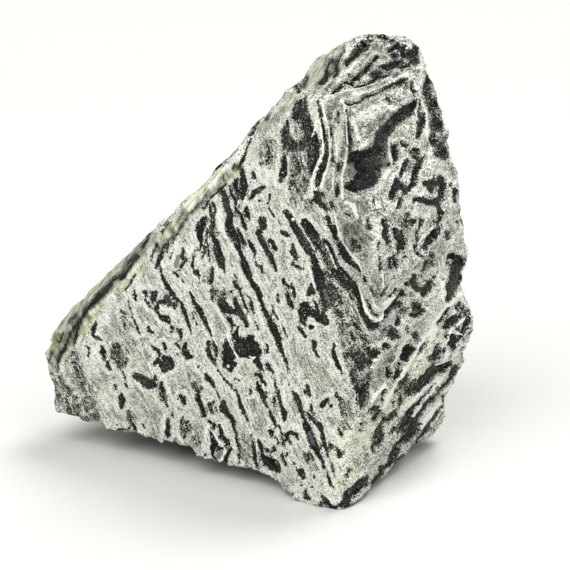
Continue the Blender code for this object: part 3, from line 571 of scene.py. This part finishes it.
# The old skin of the stone, softer and duller than a fresh break.
WEATHERED = [
    [(151, 238, 5), (137, 252, 7), (121, 270, 8), (103, 290, 8), (86, 308, 10), (70, 328, 12),
     (56, 346, 12), (51, 362, 8)],
    [(238, 166, 3), (222, 178, 5), (205, 194, 6), (188, 212, 7), (172, 231, 7), (158, 247, 6)],
    [(346, 42, 4), (332, 56, 6), (320, 70, 8), (308, 84, 6)],
    [(292, 98, 5), (276, 112, 5), (262, 128, 5)],
]
# Spots of bluish grey on the dark crystals: partly their own colour, and partly a painted sheen where
# smooth crystal faces reflect the light.
BLUE_GREY_SHEEN = [
    [(353, 165, 3), (351, 174, 4.5)], [(377, 171, 1.2), (378, 175, 1)], [(347, 183, 1.5)],
    [(385, 147, 1.6)], [(221, 452, 2.4), (218, 457, 2.6)], [(385, 161, 3.4), (385, 166, 2.4)],
    [(364, 422, 1.8)], [(178, 257, 2.6), (176, 266, 2.4)], [(199, 223, 1.6)],
    [(324, 290, 1.6), (329, 302, 1.6)], [(309, 433, 2), (313, 444, 1.8)], [(324, 441, 1.2)],
    [(94, 404, 1.8)], [(185, 350, 1.4)], [(399, 233, 1.8)],
]
# The kite itself, where the break runs along the layers and shows them as smooth sheets.
KITE = [
    [(318, 88, 6), (340, 75, 12), (362, 62, 14), (390, 62, 14), (408, 66, 8)],
    [(375, 95, 14), (340, 105, 10), (340, 150, 14), (345, 195, 20), (350, 235, 18), (372, 290, 12)],
    [(385, 130, 16), (375, 180, 14)],
]

# The stone.
# A hand-sized block of banded rock, broken on every side and left rough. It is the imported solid, meshed
# finely, with the relief that is too small for the solid: bed edges, hackle and the lie of the bands.

# Lengths that aren't multiplied by MM are in millimetres.
SKIN_MESH = 0.64 * MM
FACET_SOFTENING = 5  # rounds of smoothing
TRIANGLE_LIMIT = 195000
HIDDEN_FROM = 0.05  # how far a face leans away from the photographer before its mesh is coarser
GRAZING = 0.16  # how squarely a face meets the eye where the markings start to hold in full
FAR_FROM_MARKING = 6.0  # in photo pixels
BED_NORMAL = np.array(Vector((0.55, -0.58, 0.60)).normalized())
BED_WARP = 5.0
BED_WARP_LENGTH = 38.0
FINE_BED = 1.9
FINE_LEDGE_DEPTH = 0.55
RISER_FROM = 0.65  # of a bed's thickness
HACKLE_DEPTH = 0.55
HACKLE_LENGTH = 2.6
DARK_BAND_DEPTH = 0.60
PALE_BAND_HEIGHT = 0.40
CREVICE_DEPTH = 0.6
FLAT_BREAK_NORMAL = np.array((-0.52, -0.84, 0.18))
FLAT_BREAK_SMOOTHNESS = 0.75
WEATHERED_NORMAL = np.array((-0.75, 0.13, 0.65))
WEATHERED_SMOOTHNESS = 0.6
FLOOR_CLEARANCE = 1.2
LENS_LENGTH = 16.0
LENS_THICKNESS = 2.6
CLUSTER_WIDTH = 14.0
SPOT_WIDTH = 4.0
HIDDEN_BAND_DEPTH = 3.2
HIDDEN_THREAD_DEPTH = 2.0
THREADS_PER_LENS = 1.3


def smooth_step(low, high, value):
    """How far a value has come from low to high, from 0 to 1, with soft ends."""
    t = np.clip((value - low) / (high - low), 0.0, 1.0)
    return t * t * (3.0 - 2.0 * t)


def vertex_array(mesh, name):
    """One row per vertex of a mesh, with its place or its normal."""
    values = np.empty(len(mesh.vertices) * 3, np.float32)
    mesh.vertices.foreach_get(name, values)
    return values.reshape(-1, 3).astype(float)


def noise_at(points, sizes=1):
    """Repeatable noise at each point, of about -0.7 to 0.7, in the given number of sizes."""
    return np.array([noise.fractal(Vector(p), 0.8, 2.1, sizes) for p in points])


def inside_markings(places, markings):
    """How far inside the nearest marking each place is and, in one row, how far it is across and down
    from that marking's middle line and the marking's half width there. All are in millimetres."""
    depth = np.full(len(places), -FAR_FROM_MARKING)
    middle = np.tile([FAR_FROM_MARKING, 0.0, 0.0], (len(places), 1))
    for marking in markings:
        # The last entry comes twice, so that a round spot has a run too.
        knots = np.array(marking + marking[-1:], float)
        reach = knots[:, 2].max() + FAR_FROM_MARKING
        low = knots[:, :2].min(axis=0) - reach
        high = knots[:, :2].max(axis=0) + reach
        near = np.flatnonzero(np.all((places > low) & (places < high), axis=1))
        for start, end in zip(knots, knots[1:]):
            run = end[:2] - start[:2]
            away = places[near] - start[:2]
            along = np.clip(away @ run / max(run @ run, 1e-6), 0.0, 1.0)
            away -= along[:, None] * run
            half_width = start[2] + along * (end[2] - start[2])
            inside = half_width - np.hypot(*away.T)
            nearer = inside > depth[near]
            depth[near[nearer]] = inside[nearer]
            middle[near[nearer]] = np.column_stack([away, half_width])[nearer]
    return depth * MM_PER_PIXEL, middle * MM_PER_PIXEL


def apply_modifiers(thing):
    """Makes an object's modifiers part of its mesh, and gives that mesh."""
    depsgraph = bpy.context.evaluated_depsgraph_get()
    made = bpy.data.meshes.new_from_object(thing.evaluated_get(depsgraph))
    thing.modifiers.clear()
    thing.data = made
    return made


stone = bpy.data.objects.new("banded_stone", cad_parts["stone"].data.copy())
bpy.context.scene.collection.objects.link(stone)
skin = stone.modifiers.new("skin", "REMESH")
skin.mode = "VOXEL"
skin.voxel_size = SKIN_MESH
soften = stone.modifiers.new("soften the facets", "SMOOTH")
soften.factor = 0.5
soften.iterations = FACET_SOFTENING
mesh = apply_modifiers(stone)
turned_away = (vertex_array(mesh, "normal") @ np.array(look)) > HIDDEN_FROM
stone.vertex_groups.new(name="hidden").add(np.flatnonzero(turned_away).tolist(), 1.0, "REPLACE")
coarsen = stone.modifiers.new("coarsen the hidden sides", "DECIMATE")
coarsen.ratio = TRIANGLE_LIMIT / sum(len(p.vertices) - 2 for p in mesh.polygons)
coarsen.vertex_group = "hidden"
mesh = apply_modifiers(stone)

world = vertex_array(mesh, "co")
normals = vertex_array(mesh, "normal")
points = (world - np.array(foot)) / MM
places = in_photo(world)
to_eye = np.array(eye) - world
to_eye /= np.linalg.norm(to_eye, axis=1, keepdims=True)
shown = smooth_step(0.0, GRAZING, (normals * to_eye).sum(axis=1))
hidden = 1.0 - shown

# Dark bands and pale threads. The photograph gives them where it shows the stone, and on the hidden
# sides they are lenses that run along the same layers.
beds = points @ BED_NORMAL + BED_WARP * noise_at(points / BED_WARP_LENGTH)
lens_places = points / LENS_LENGTH + np.outer(beds / LENS_THICKNESS, BED_NORMAL)
gathered = noise_at(points / CLUSTER_WIDTH)
bands_and_spots = 0.8 * noise_at(lens_places, 3) + 0.25 * gathered + 0.35 * noise_at(points / SPOT_WIDTH, 2)
hidden_dark = HIDDEN_BAND_DEPTH * (bands_and_spots - 0.20)
drawn_dark, dark_middle = inside_markings(places, BLACK)
dark = hidden_dark + (drawn_dark - hidden_dark) * shown
hidden_pale = HIDDEN_THREAD_DEPTH * (noise_at(lens_places * THREADS_PER_LENS + 7.0, 2) - 0.30)
drawn_pale, pale_middle = inside_markings(places, PALE_LINES_AND_HIGHLIGHTS)
pale = hidden_pale + (drawn_pale - hidden_pale) * shown

# Softer markings, each with the depths inside its edge where it starts and where it is full.
kept = {}
for name, markings, outer, inner in [
    ("pepper", PEPPER, -1.0, 0.6),
    ("kite", KITE, -2.0, 1.0),
    ("pale_patch", PALE_PATCHES, -1.0, 1.2),
    ("cream", CREAM, -3.5, 2.0),
    ("yellow_green", YELLOW_GREEN, -0.5, 0.4),
    ("olive", OLIVE_AND_SHADE, -0.8, 0.6),
    ("weathered", WEATHERED, -1.0, 0.8),
    ("blue_grey_sheen", BLUE_GREY_SHEEN, -0.25, 0.25),
]:
    kept[name] = smooth_step(outer, inner, inside_markings(places, markings)[0]) * shown
kept["pepper"] += smooth_step(0.0, 0.4, gathered) * hidden
weathered_side = smooth_step(0.85, 0.97, normals @ WEATHERED_NORMAL) * hidden
kept["weathered"] = np.maximum(kept["weathered"], weathered_side)

# The relief. Each fine bed stands out by its own amount, with a riser up or down to the next one. The
# smooth break, the weathered skin and the last millimetre above the floor have less of all of it.
bed_index = np.floor(beds / FINE_BED).astype(int)
riser = smooth_step(RISER_FROM, 1.0, beds / FINE_BED - bed_index)
bed_range = range(bed_index.min(), bed_index.max() + 2)
standing = {i: noise.cell(Vector((i + 0.5, 3.5, 7.5))) for i in bed_range}
this_bed = np.array([standing[i] for i in bed_index])
next_bed = np.array([standing[i + 1] for i in bed_index])
broken = 1.0 - FLAT_BREAK_SMOOTHNESS * smooth_step(0.80, 0.95, normals @ FLAT_BREAK_NORMAL)
crevices = smooth_step(-0.4, 0.5, inside_markings(places, CAP_CREVICES_PAINTED_SHADE)[0]) * shown
relief = FINE_LEDGE_DEPTH * (this_bed * (1.0 - riser) + next_bed * riser)
relief += HACKLE_DEPTH * noise_at(points / HACKLE_LENGTH, 3)
relief -= DARK_BAND_DEPTH * smooth_step(-0.3, 0.3, dark)
relief += PALE_BAND_HEIGHT * smooth_step(-0.3, 0.3, pale)
relief *= broken * (1.0 - WEATHERED_SMOOTHNESS * kept["weathered"])
relief -= CREVICE_DEPTH * crevices
relief *= smooth_step(0.0, FLOOR_CLEARANCE, points[:, 2])

world += normals * (relief * MM)[:, None]
world = np.clip(world, np.array(solid_low), np.array(solid_high))
mesh.vertices.foreach_set("co", world.astype(np.float32).ravel())
kept.update(dark=dark, pale=pale, broken=broken, bed=beds, shown=shown)
for name, values in kept.items():
    mesh.attributes.new(name, "FLOAT", "POINT").data.foreach_set("value", values.astype(np.float32))
for name, middle in {"dark_middle": dark_middle, "pale_middle": pale_middle}.items():
    rows = (middle * shown[:, None]).astype(np.float32)
    mesh.attributes.new(name, "FLOAT_VECTOR", "POINT").data.foreach_set("vector", rows.ravel())
mesh.update()

# The rock.
# Black amphibole in white feldspar, broken and never polished. The breaks run through whole crystals, so
# the surface is matt, and the eye sees black and white grains that gather into bands.

# Widths are in millimetres, and a noise's scale is one over the width of what it draws. The grains
# are as wide as single crystals are in the photograph, about one and a half of its pixels.
GRAIN_WIDTH = 0.4762
WHITE_GRAIN_WIDTH = 0.5263
BAND_EDGE_WIDTH = 1.25
CLUMP_WIDTH = 1.8182
WANDER_WIDTH = 4.5455
TONE_WIDTH = 8.3333
STREAK_THICKNESS = 0.55
STREAK_LENGTH = 5.0
BAND_WIDTH_IN_STREAKS = 2.381
WHITE_STREAK_WIDTH_IN_STREAKS = 0.76923
LAYER_SPACING = 1.428
LAYER_WANDER = 9.0  # in radians
LAYERS_OUT = 2.2  # from the edge of a dark band to the middle of its layers
LAYERS_REACH = 1.9
LAYERS_FULL = 1.2
FINEST_DRAWN = 0.35  # the half width of a marking that the mesh may miss
GRAIN_HEIGHT = 0.25 * MM
GRAIN_SHARPNESS = 0.6
WHITE_ROUGHNESS = 0.85
BLACK_ROUGHNESS = 0.55
MINERAL_SHINE = 0.12


def linear(colour):
    """An sRGB hex colour as linear red, green, blue and alpha."""
    channels = [int(colour[i:i + 2], 16) / 255 for i in (1, 3, 5)]
    return [c / 12.92 if c <= 0.04045 else ((c + 0.055) / 1.055) ** 2.4 for c in channels] + [1.0]


def add_node(tree, kind, inputs, output=0, **settings):
    """Adds a node with its settings, sets or links its inputs, and gives the output that is asked for.
    The inputs are a list in the node's own order, or a dictionary by name or number."""
    node = tree.nodes.new("ShaderNode" + kind)
    for name, value in settings.items():
        setattr(node, name, value)
    for socket, value in inputs.items() if isinstance(inputs, dict) else enumerate(inputs):
        if isinstance(value, bpy.types.NodeSocket):
            tree.links.new(value, node.inputs[socket])
        else:
            node.inputs[socket].default_value = value
    return node.outputs[output]


rock = bpy.data.materials.new("banded amphibole and feldspar rock")
rock.use_nodes = True
tree = rock.node_tree
shader = tree.nodes["Principled BSDF"]
on_skin = {name: add_node(tree, "Attribute", [], "Fac", attribute_name=name) for name in kept}
pepper, broken_face, kite = on_skin["pepper"], on_skin["broken"], on_skin["kite"]

# Places in the rock: in millimetres, and in streaks, which are long along the layers and thin across.
# White grains and streaks have theirs moved aside, so that they don't follow the black ones.
object_place = add_node(tree, "TexCoord", [], "Object")
in_mm = add_node(tree, "VectorMath", {0: object_place, "Scale": 1.0 / MM}, operation="SCALE")
bed_in_streaks = add_node(tree, "Math", [on_skin["bed"], STREAK_THICKNESS], operation="DIVIDE")
across_beds = add_node(tree, "VectorMath", {0: BED_NORMAL, "Scale": bed_in_streaks}, operation="SCALE")
along_beds = add_node(tree, "VectorMath", {0: in_mm, "Scale": 1.0 / STREAK_LENGTH}, operation="SCALE")
in_streaks = add_node(tree, "VectorMath", [across_beds, along_beds], operation="ADD")
white_in_mm = add_node(tree, "VectorMath", [in_mm, (40.0, 0.0, 0.0)], operation="ADD")
white_in_streaks = add_node(tree, "VectorMath", [in_streaks, (0.0, 30.0, 0.0)], operation="ADD")
texture = {}
for name, place, width, detail, roughness in [
    ("grain", in_mm, GRAIN_WIDTH, 2.0, 0.75),
    ("white grain", white_in_mm, WHITE_GRAIN_WIDTH, 2.0, 0.7),
    ("clumps", in_mm, CLUMP_WIDTH, 2.0, 0.6),
    ("streaks", in_streaks, 1.0, 2.0, 0.6),
    ("bands", in_streaks, BAND_WIDTH_IN_STREAKS, 2.0, 0.5),
    ("white streaks", white_in_streaks, WHITE_STREAK_WIDTH_IN_STREAKS, 1.0, 0.6),
    ("tone", in_mm, TONE_WIDTH, 2.0, 0.5),
    ("edge", in_mm, BAND_EDGE_WIDTH, 3.0, 0.7),
    ("wander", in_mm, WANDER_WIDTH, 2.0, 0.5),
]:
    inputs = {"Vector": place, "Scale": 1.0 / width, "Detail": detail, "Roughness": roughness}
    texture[name] = add_node(tree, "TexNoise", inputs)
grain = texture["grain"]

# How far inside a band or thread the skin is, in millimetres. The middle line and half width give thin
# ones finer than the mesh, and the depth kept at the vertices says where that line isn't real.
depth = {}
for name, ragged_low, ragged_high in [("dark", -0.25, 0.45), ("pale", 0.12, -0.22)]:
    middle = add_node(tree, "Attribute", [], "Vector", attribute_name=name + "_middle")
    parts = add_node(tree, "SeparateXYZ", [middle]).node.outputs
    squares = [add_node(tree, "Math", [parts[axis], 2.0], operation="POWER") for axis in ("X", "Y")]
    gap_squared = add_node(tree, "Math", squares, operation="ADD")
    gap = add_node(tree, "Math", [gap_squared], operation="SQRT")
    fine = add_node(tree, "Math", [parts["Z"], gap], operation="SUBTRACT")
    rough_limit = add_node(tree, "Math", [on_skin[name], FINEST_DRAWN], operation="ADD")
    drawn = add_node(tree, "Math", [fine, rough_limit], operation="MINIMUM")
    smooth_depth = add_node(tree, "Mix", {0: on_skin["shown"], 2: on_skin[name], 3: drawn})
    ragged = add_node(tree, "MapRange", [texture["edge"], 0.30, 0.70, ragged_low, ragged_high])
    depth[name] = add_node(tree, "Math", [smooth_depth, ragged], operation="ADD")

# Fine layers round the outside of each dark band. They follow its outline and then wander.
turns = add_node(tree, "Math", [on_skin["dark"], 2.0 * math.pi / LAYER_SPACING], operation="MULTIPLY")
turns = add_node(tree, "Math", [texture["wander"], LAYER_WANDER, turns], operation="MULTIPLY_ADD")
layers = add_node(tree, "Math", [turns], operation="SINE")
from_layers = add_node(tree, "Math", [on_skin["dark"], LAYERS_OUT], operation="ADD")
from_layers = add_node(tree, "Math", [from_layers], operation="ABSOLUTE")
near_band = add_node(tree, "MapRange", [from_layers, LAYERS_REACH, LAYERS_FULL, 0.0, 1.0])
layers = add_node(tree, "Math", [layers, near_band], operation="MULTIPLY")

# A white rim just outside each dark band, weaker on the kite.
rim_outside = add_node(tree, "MapRange", [depth["dark"], -1.4, -0.5, 0.0, 1.0])
rim_inside = add_node(tree, "MapRange", [depth["dark"], -0.1, -0.4, 0.0, 1.0])
rim_on_kite = add_node(tree, "MapRange", [kite, 0.0, 1.0, 1.0, 0.35])
rim = add_node(tree, "Math", [rim_outside, rim_inside], operation="MULTIPLY")
rim = add_node(tree, "Math", [rim, rim_on_kite], operation="MULTIPLY")
thread = add_node(tree, "MapRange", [depth["pale"], -0.12, 0.10, 0.0, 1.0])

# Black grains. Their share rises over the feathered edge of a dark band, up to solid black inside it.
# Streaks are weaker on the kite, and bands are less solid where they are pepper or on a rough break.
feather = add_node(tree, "Math", [broken_face, 0.30, 0.18], operation="MULTIPLY_ADD")
feather = add_node(tree, "Math", [pepper, 0.7, feather], operation="MULTIPLY_ADD")
into_band = add_node(tree, "Math", [depth["dark"], feather], operation="DIVIDE")
gathering = add_node(tree, "MapRange", [into_band, -0.7, 1.1, 0.0, 0.36])
solid_in_pepper = add_node(tree, "MapRange", [pepper, 0.0, 1.0, 1.0, 0.28])
solid_on_break = add_node(tree, "MapRange", [broken_face, 0.0, 1.0, 1.0, 0.82])
solidity = add_node(tree, "Math", [solid_in_pepper, solid_on_break], operation="MULTIPLY")
flow = add_node(tree, "MapRange", [kite, 0.0, 1.0, 1.0, 0.25])
streak_share = add_node(tree, "Math", [flow, 0.12], operation="MULTIPLY")
band_share = add_node(tree, "Math", [flow, 0.09], operation="MULTIPLY")
black_share = 0.314
for part, amount in [
    (gathering, solidity),
    (layers, 0.050),
    (pepper, 0.17),
    (on_skin["cream"], -0.08),
    (add_node(tree, "MapRange", [texture["streaks"], 0.35, 0.75, -0.5, 0.5]), streak_share),
    (add_node(tree, "MapRange", [texture["clumps"], 0.3, 0.7, -0.5, 0.5]), 0.12),
    (add_node(tree, "MapRange", [texture["tone"], 0.3, 0.7, -0.5, 0.5]), 0.06),
    (add_node(tree, "MapRange", [texture["bands"], 0.35, 0.7, -0.5, 0.5]), band_share),
    (broken_face, 0.08),
    (add_node(tree, "MapRange", [depth["dark"], -1.5, -0.2, 0.0, 1.0]), 0.05),
    (rim, -0.06),
    (on_skin["pale_patch"], -0.17),
    (thread, -0.30),
]:
    black_share = add_node(tree, "Math", [part, amount, black_share], operation="MULTIPLY_ADD")
over_grain = add_node(tree, "Math", [black_share, grain], operation="SUBTRACT")
blackness = add_node(tree, "MapRange", [over_grain, -0.012, 0.022, 0.0, 1.0])

# White grains in the ground between the black ones, with more contrast on a rough break.
kite_evenness = add_node(tree, "MapRange", [kite, 0.0, 1.0, 1.0, 0.15])
contrast = add_node(tree, "Math", [broken_face, kite_evenness], operation="MULTIPLY")
white_streak_share = add_node(tree, "Math", [flow, 0.18], operation="MULTIPLY")
thread_share = add_node(tree, "Math", [contrast, 0.08, 0.23], operation="MULTIPLY_ADD")
whiteness = texture["white grain"]
for part, amount in [
    (add_node(tree, "MapRange", [texture["white streaks"], 0.40, 0.65, 0.0, 1.0]), white_streak_share),
    (add_node(tree, "MapRange", [texture["white grain"], 0.3, 0.7, -0.24, 0.24]), contrast),
    (add_node(tree, "MapRange", [texture["bands"], 0.3, 0.7, 0.0, 1.0]), -0.09),
    (broken_face, -0.04),
    (layers, -0.07),
    (kite, -0.04),
    (rim, 0.13),
    (on_skin["pale_patch"], 0.14),
    (thread, thread_share),
    (on_skin["cream"], 0.06),
    (pepper, -0.11),
]:
    whiteness = add_node(tree, "Math", [part, amount, whiteness], operation="MULTIPLY_ADD")

# The black isn't even: it is greyer in places over a few millimetres, and its grains carry painted glints,
# grey where crystals catch the light.
dulled = add_node(tree, "MapRange", [texture["tone"], 0.45, 0.65, 0.0, 1.0])
black_grey_and_glint = add_node(tree, "Math", [dulled, 0.12, texture["white grain"]], operation="MULTIPLY_ADD")

# The weathered skin. Its grains have run together, so it has smears along the layers instead.
under_skin = add_node(tree, "MapRange", [depth["dark"], -0.9, 0.6, 0.0, 0.65])
skin_tone = 0.50
for part, amount in [
    (add_node(tree, "MapRange", [texture["streaks"], 0.30, 0.70, -0.5, 0.5]), 0.40),
    (add_node(tree, "MapRange", [texture["bands"], 0.35, 0.65, -0.5, 0.5]), 0.35),
    (add_node(tree, "MapRange", [texture["clumps"], 0.30, 0.70, -0.5, 0.5]), 0.25),
    (add_node(tree, "MapRange", [grain, 0.3, 0.7, -0.5, 0.5]), 0.12),
    (under_skin, -1.0),
    (on_skin["pale_patch"], 0.45),
]:
    skin_tone = add_node(tree, "Math", [part, amount, skin_tone], operation="MULTIPLY_ADD")

# The colours. The ground's are greys with a little green in them, and the blacks aren't pure.
mineral = {}
for name, tone, stops in [
    ("ground", whiteness,
     {0.30: "#5f6259", 0.41: "#8e9187", 0.52: "#b9bbb2", 0.66: "#d8d9d1", 0.88: "#f4f5f0"}),
    ("black", black_grey_and_glint, {0.35: "#050605", 0.52: "#10120f", 0.64: "#2e312d", 0.78: "#63665f"}),
    ("skin", skin_tone, {0.0: "#15180f", 0.2: "#4e5347", 0.5: "#999d89", 0.75: "#cccebf", 1.0: "#f6f7ee"}),
    ("blue-grey sheen", grain, {0.3: "#3a3f40", 0.6: "#6a7072", 0.8: "#a3a9a9"}),
]:
    mineral[name] = add_node(tree, "ValToRGB", [tone])
    elements = mineral[name].node.color_ramp.elements
    while len(elements) < len(stops):
        elements.new(0.5)
    for element, (position, colour) in zip(elements, stops.items()):
        element.position = position
        element.color = linear(colour)
# The olive tint also darkens the ground, and at the lower right it is painted shade.
for name, place, tint in [
    ("ground", "cream", "#f9f9ee"),
    ("ground", "yellow_green", "#eff0cd"),
    ("ground", "olive", "#c9ccb8"),
    ("skin", "yellow_green", "#e4e7c2"),
]:
    inputs = {0: on_skin[place], 6: mineral[name], 7: linear(tint)}
    mineral[name] = add_node(tree, "Mix", inputs, 2, data_type="RGBA", blend_type="MULTIPLY")

skin_cover = add_node(tree, "Math", [on_skin["weathered"], 0.85], operation="MULTIPLY")
# The bluish grey spots, partly painted sheen, go over the black.
sheen_cover = add_node(tree, "Math", [on_skin["blue_grey_sheen"], grain], operation="ADD")
sheen_cover = add_node(tree, "MapRange", [sheen_cover, 0.90, 1.25, 0.0, 0.8])
rock_colour = mineral["ground"]
for name, cover in [("black", blackness), ("skin", skin_cover), ("blue-grey sheen", sheen_cover)]:
    inputs = {0: cover, 6: rock_colour, 7: mineral[name]}
    rock_colour = add_node(tree, "Mix", inputs, 2, data_type="RGBA")

# Black crystals are a little glossier than white ones, and every grain stands up by a little.
gloss = add_node(tree, "MapRange", [blackness, 0.0, 1.0, WHITE_ROUGHNESS, BLACK_ROUGHNESS])
inputs = {"Height": grain, "Strength": GRAIN_SHARPNESS, "Distance": GRAIN_HEIGHT}
grain_relief = add_node(tree, "Bump", inputs)
tree.links.new(rock_colour, shader.inputs["Base Color"])
tree.links.new(gloss, shader.inputs["Roughness"])
tree.links.new(grain_relief, shader.inputs["Normal"])
shader.inputs["Specular IOR Level"].default_value = MINERAL_SHINE

mesh.materials.clear()
mesh.materials.append(rock)
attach(stone, "root")
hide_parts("stone")

# The floor.
# A sheet of smooth white paper under and behind the stone. It is plain white with a faint sheen, and
# gives only the soft shadow at the left and round the foot.
FLOOR_HALF_SIDE = 3000.0 * MM
PAPER_WHITE = "#dedfdb"
PAPER_ROUGHNESS = 0.35
corners = [(-1, -1), (1, -1), (1, 1), (-1, 1)]
sheet = bpy.data.meshes.new("floor")
sheet.from_pydata([(x * FLOOR_HALF_SIDE, y * FLOOR_HALF_SIDE, 0) for x, y in corners], [], [(0, 1, 2, 3)])
floor = bpy.data.objects.new("floor", sheet)
bpy.context.scene.collection.objects.link(floor)
paper = bpy.data.materials.new("white paper")
paper.use_nodes = True
paper_shader = paper.node_tree.nodes["Principled BSDF"]
paper_shader.inputs["Base Color"].default_value = linear(PAPER_WHITE)
paper_shader.inputs["Roughness"].default_value = PAPER_ROUGHNESS
sheet.materials.append(paper)

# The light.
# A white light tent. The strongest light comes through its roof, from behind and to the right, and two
# weaker ones come from high in front, so the shadow is soft and falls to the left. The cloth glows
# more towards the top, and its lit wall stands all round the floor.
ROOF_GLOW = 0.33
WALL_GLOW = 0.85
tent = bpy.data.worlds.new("white tent")
bpy.context.scene.world = tent
tent.use_nodes = True
sky = tent.node_tree
direction = add_node(sky, "TexCoord", [], "Generated")
height = add_node(sky, "SeparateXYZ", [direction], "Z")
roof = add_node(sky, "MapRange", [height, 0.0, 0.8, 0.0, ROOF_GLOW])
wall = add_node(sky, "MapRange", [height, 0.10, 0.14, WALL_GLOW, 0.0])
background = sky.nodes["Background"]
background.inputs["Color"].default_value = linear("#ffffff")
sky.links.new(add_node(sky, "Math", [roof, wall], operation="ADD"), background.inputs["Strength"])
for name, towards, spread, strength in [
    ("tent roof", (-0.42, -0.48, -1.0), 30.0, 2.4),
    ("tent front left", (0.38, 0.52, -0.80), 45.0, 2.0),
    ("tent front right", (-0.50, 0.42, -0.75), 40.0, 0.85),
]:
    light = bpy.data.lights.new(name, "SUN")
    light.angle = math.radians(spread)
    light.energy = strength
    lamp = bpy.data.objects.new(name, light)
    bpy.context.scene.collection.objects.link(lamp)
    lamp.rotation_mode = "QUATERNION"
    lamp.rotation_quaternion = Vector(towards).to_track_quat("-Z", "Y")
bpy.context.scene.view_settings.view_transform = "Standard"
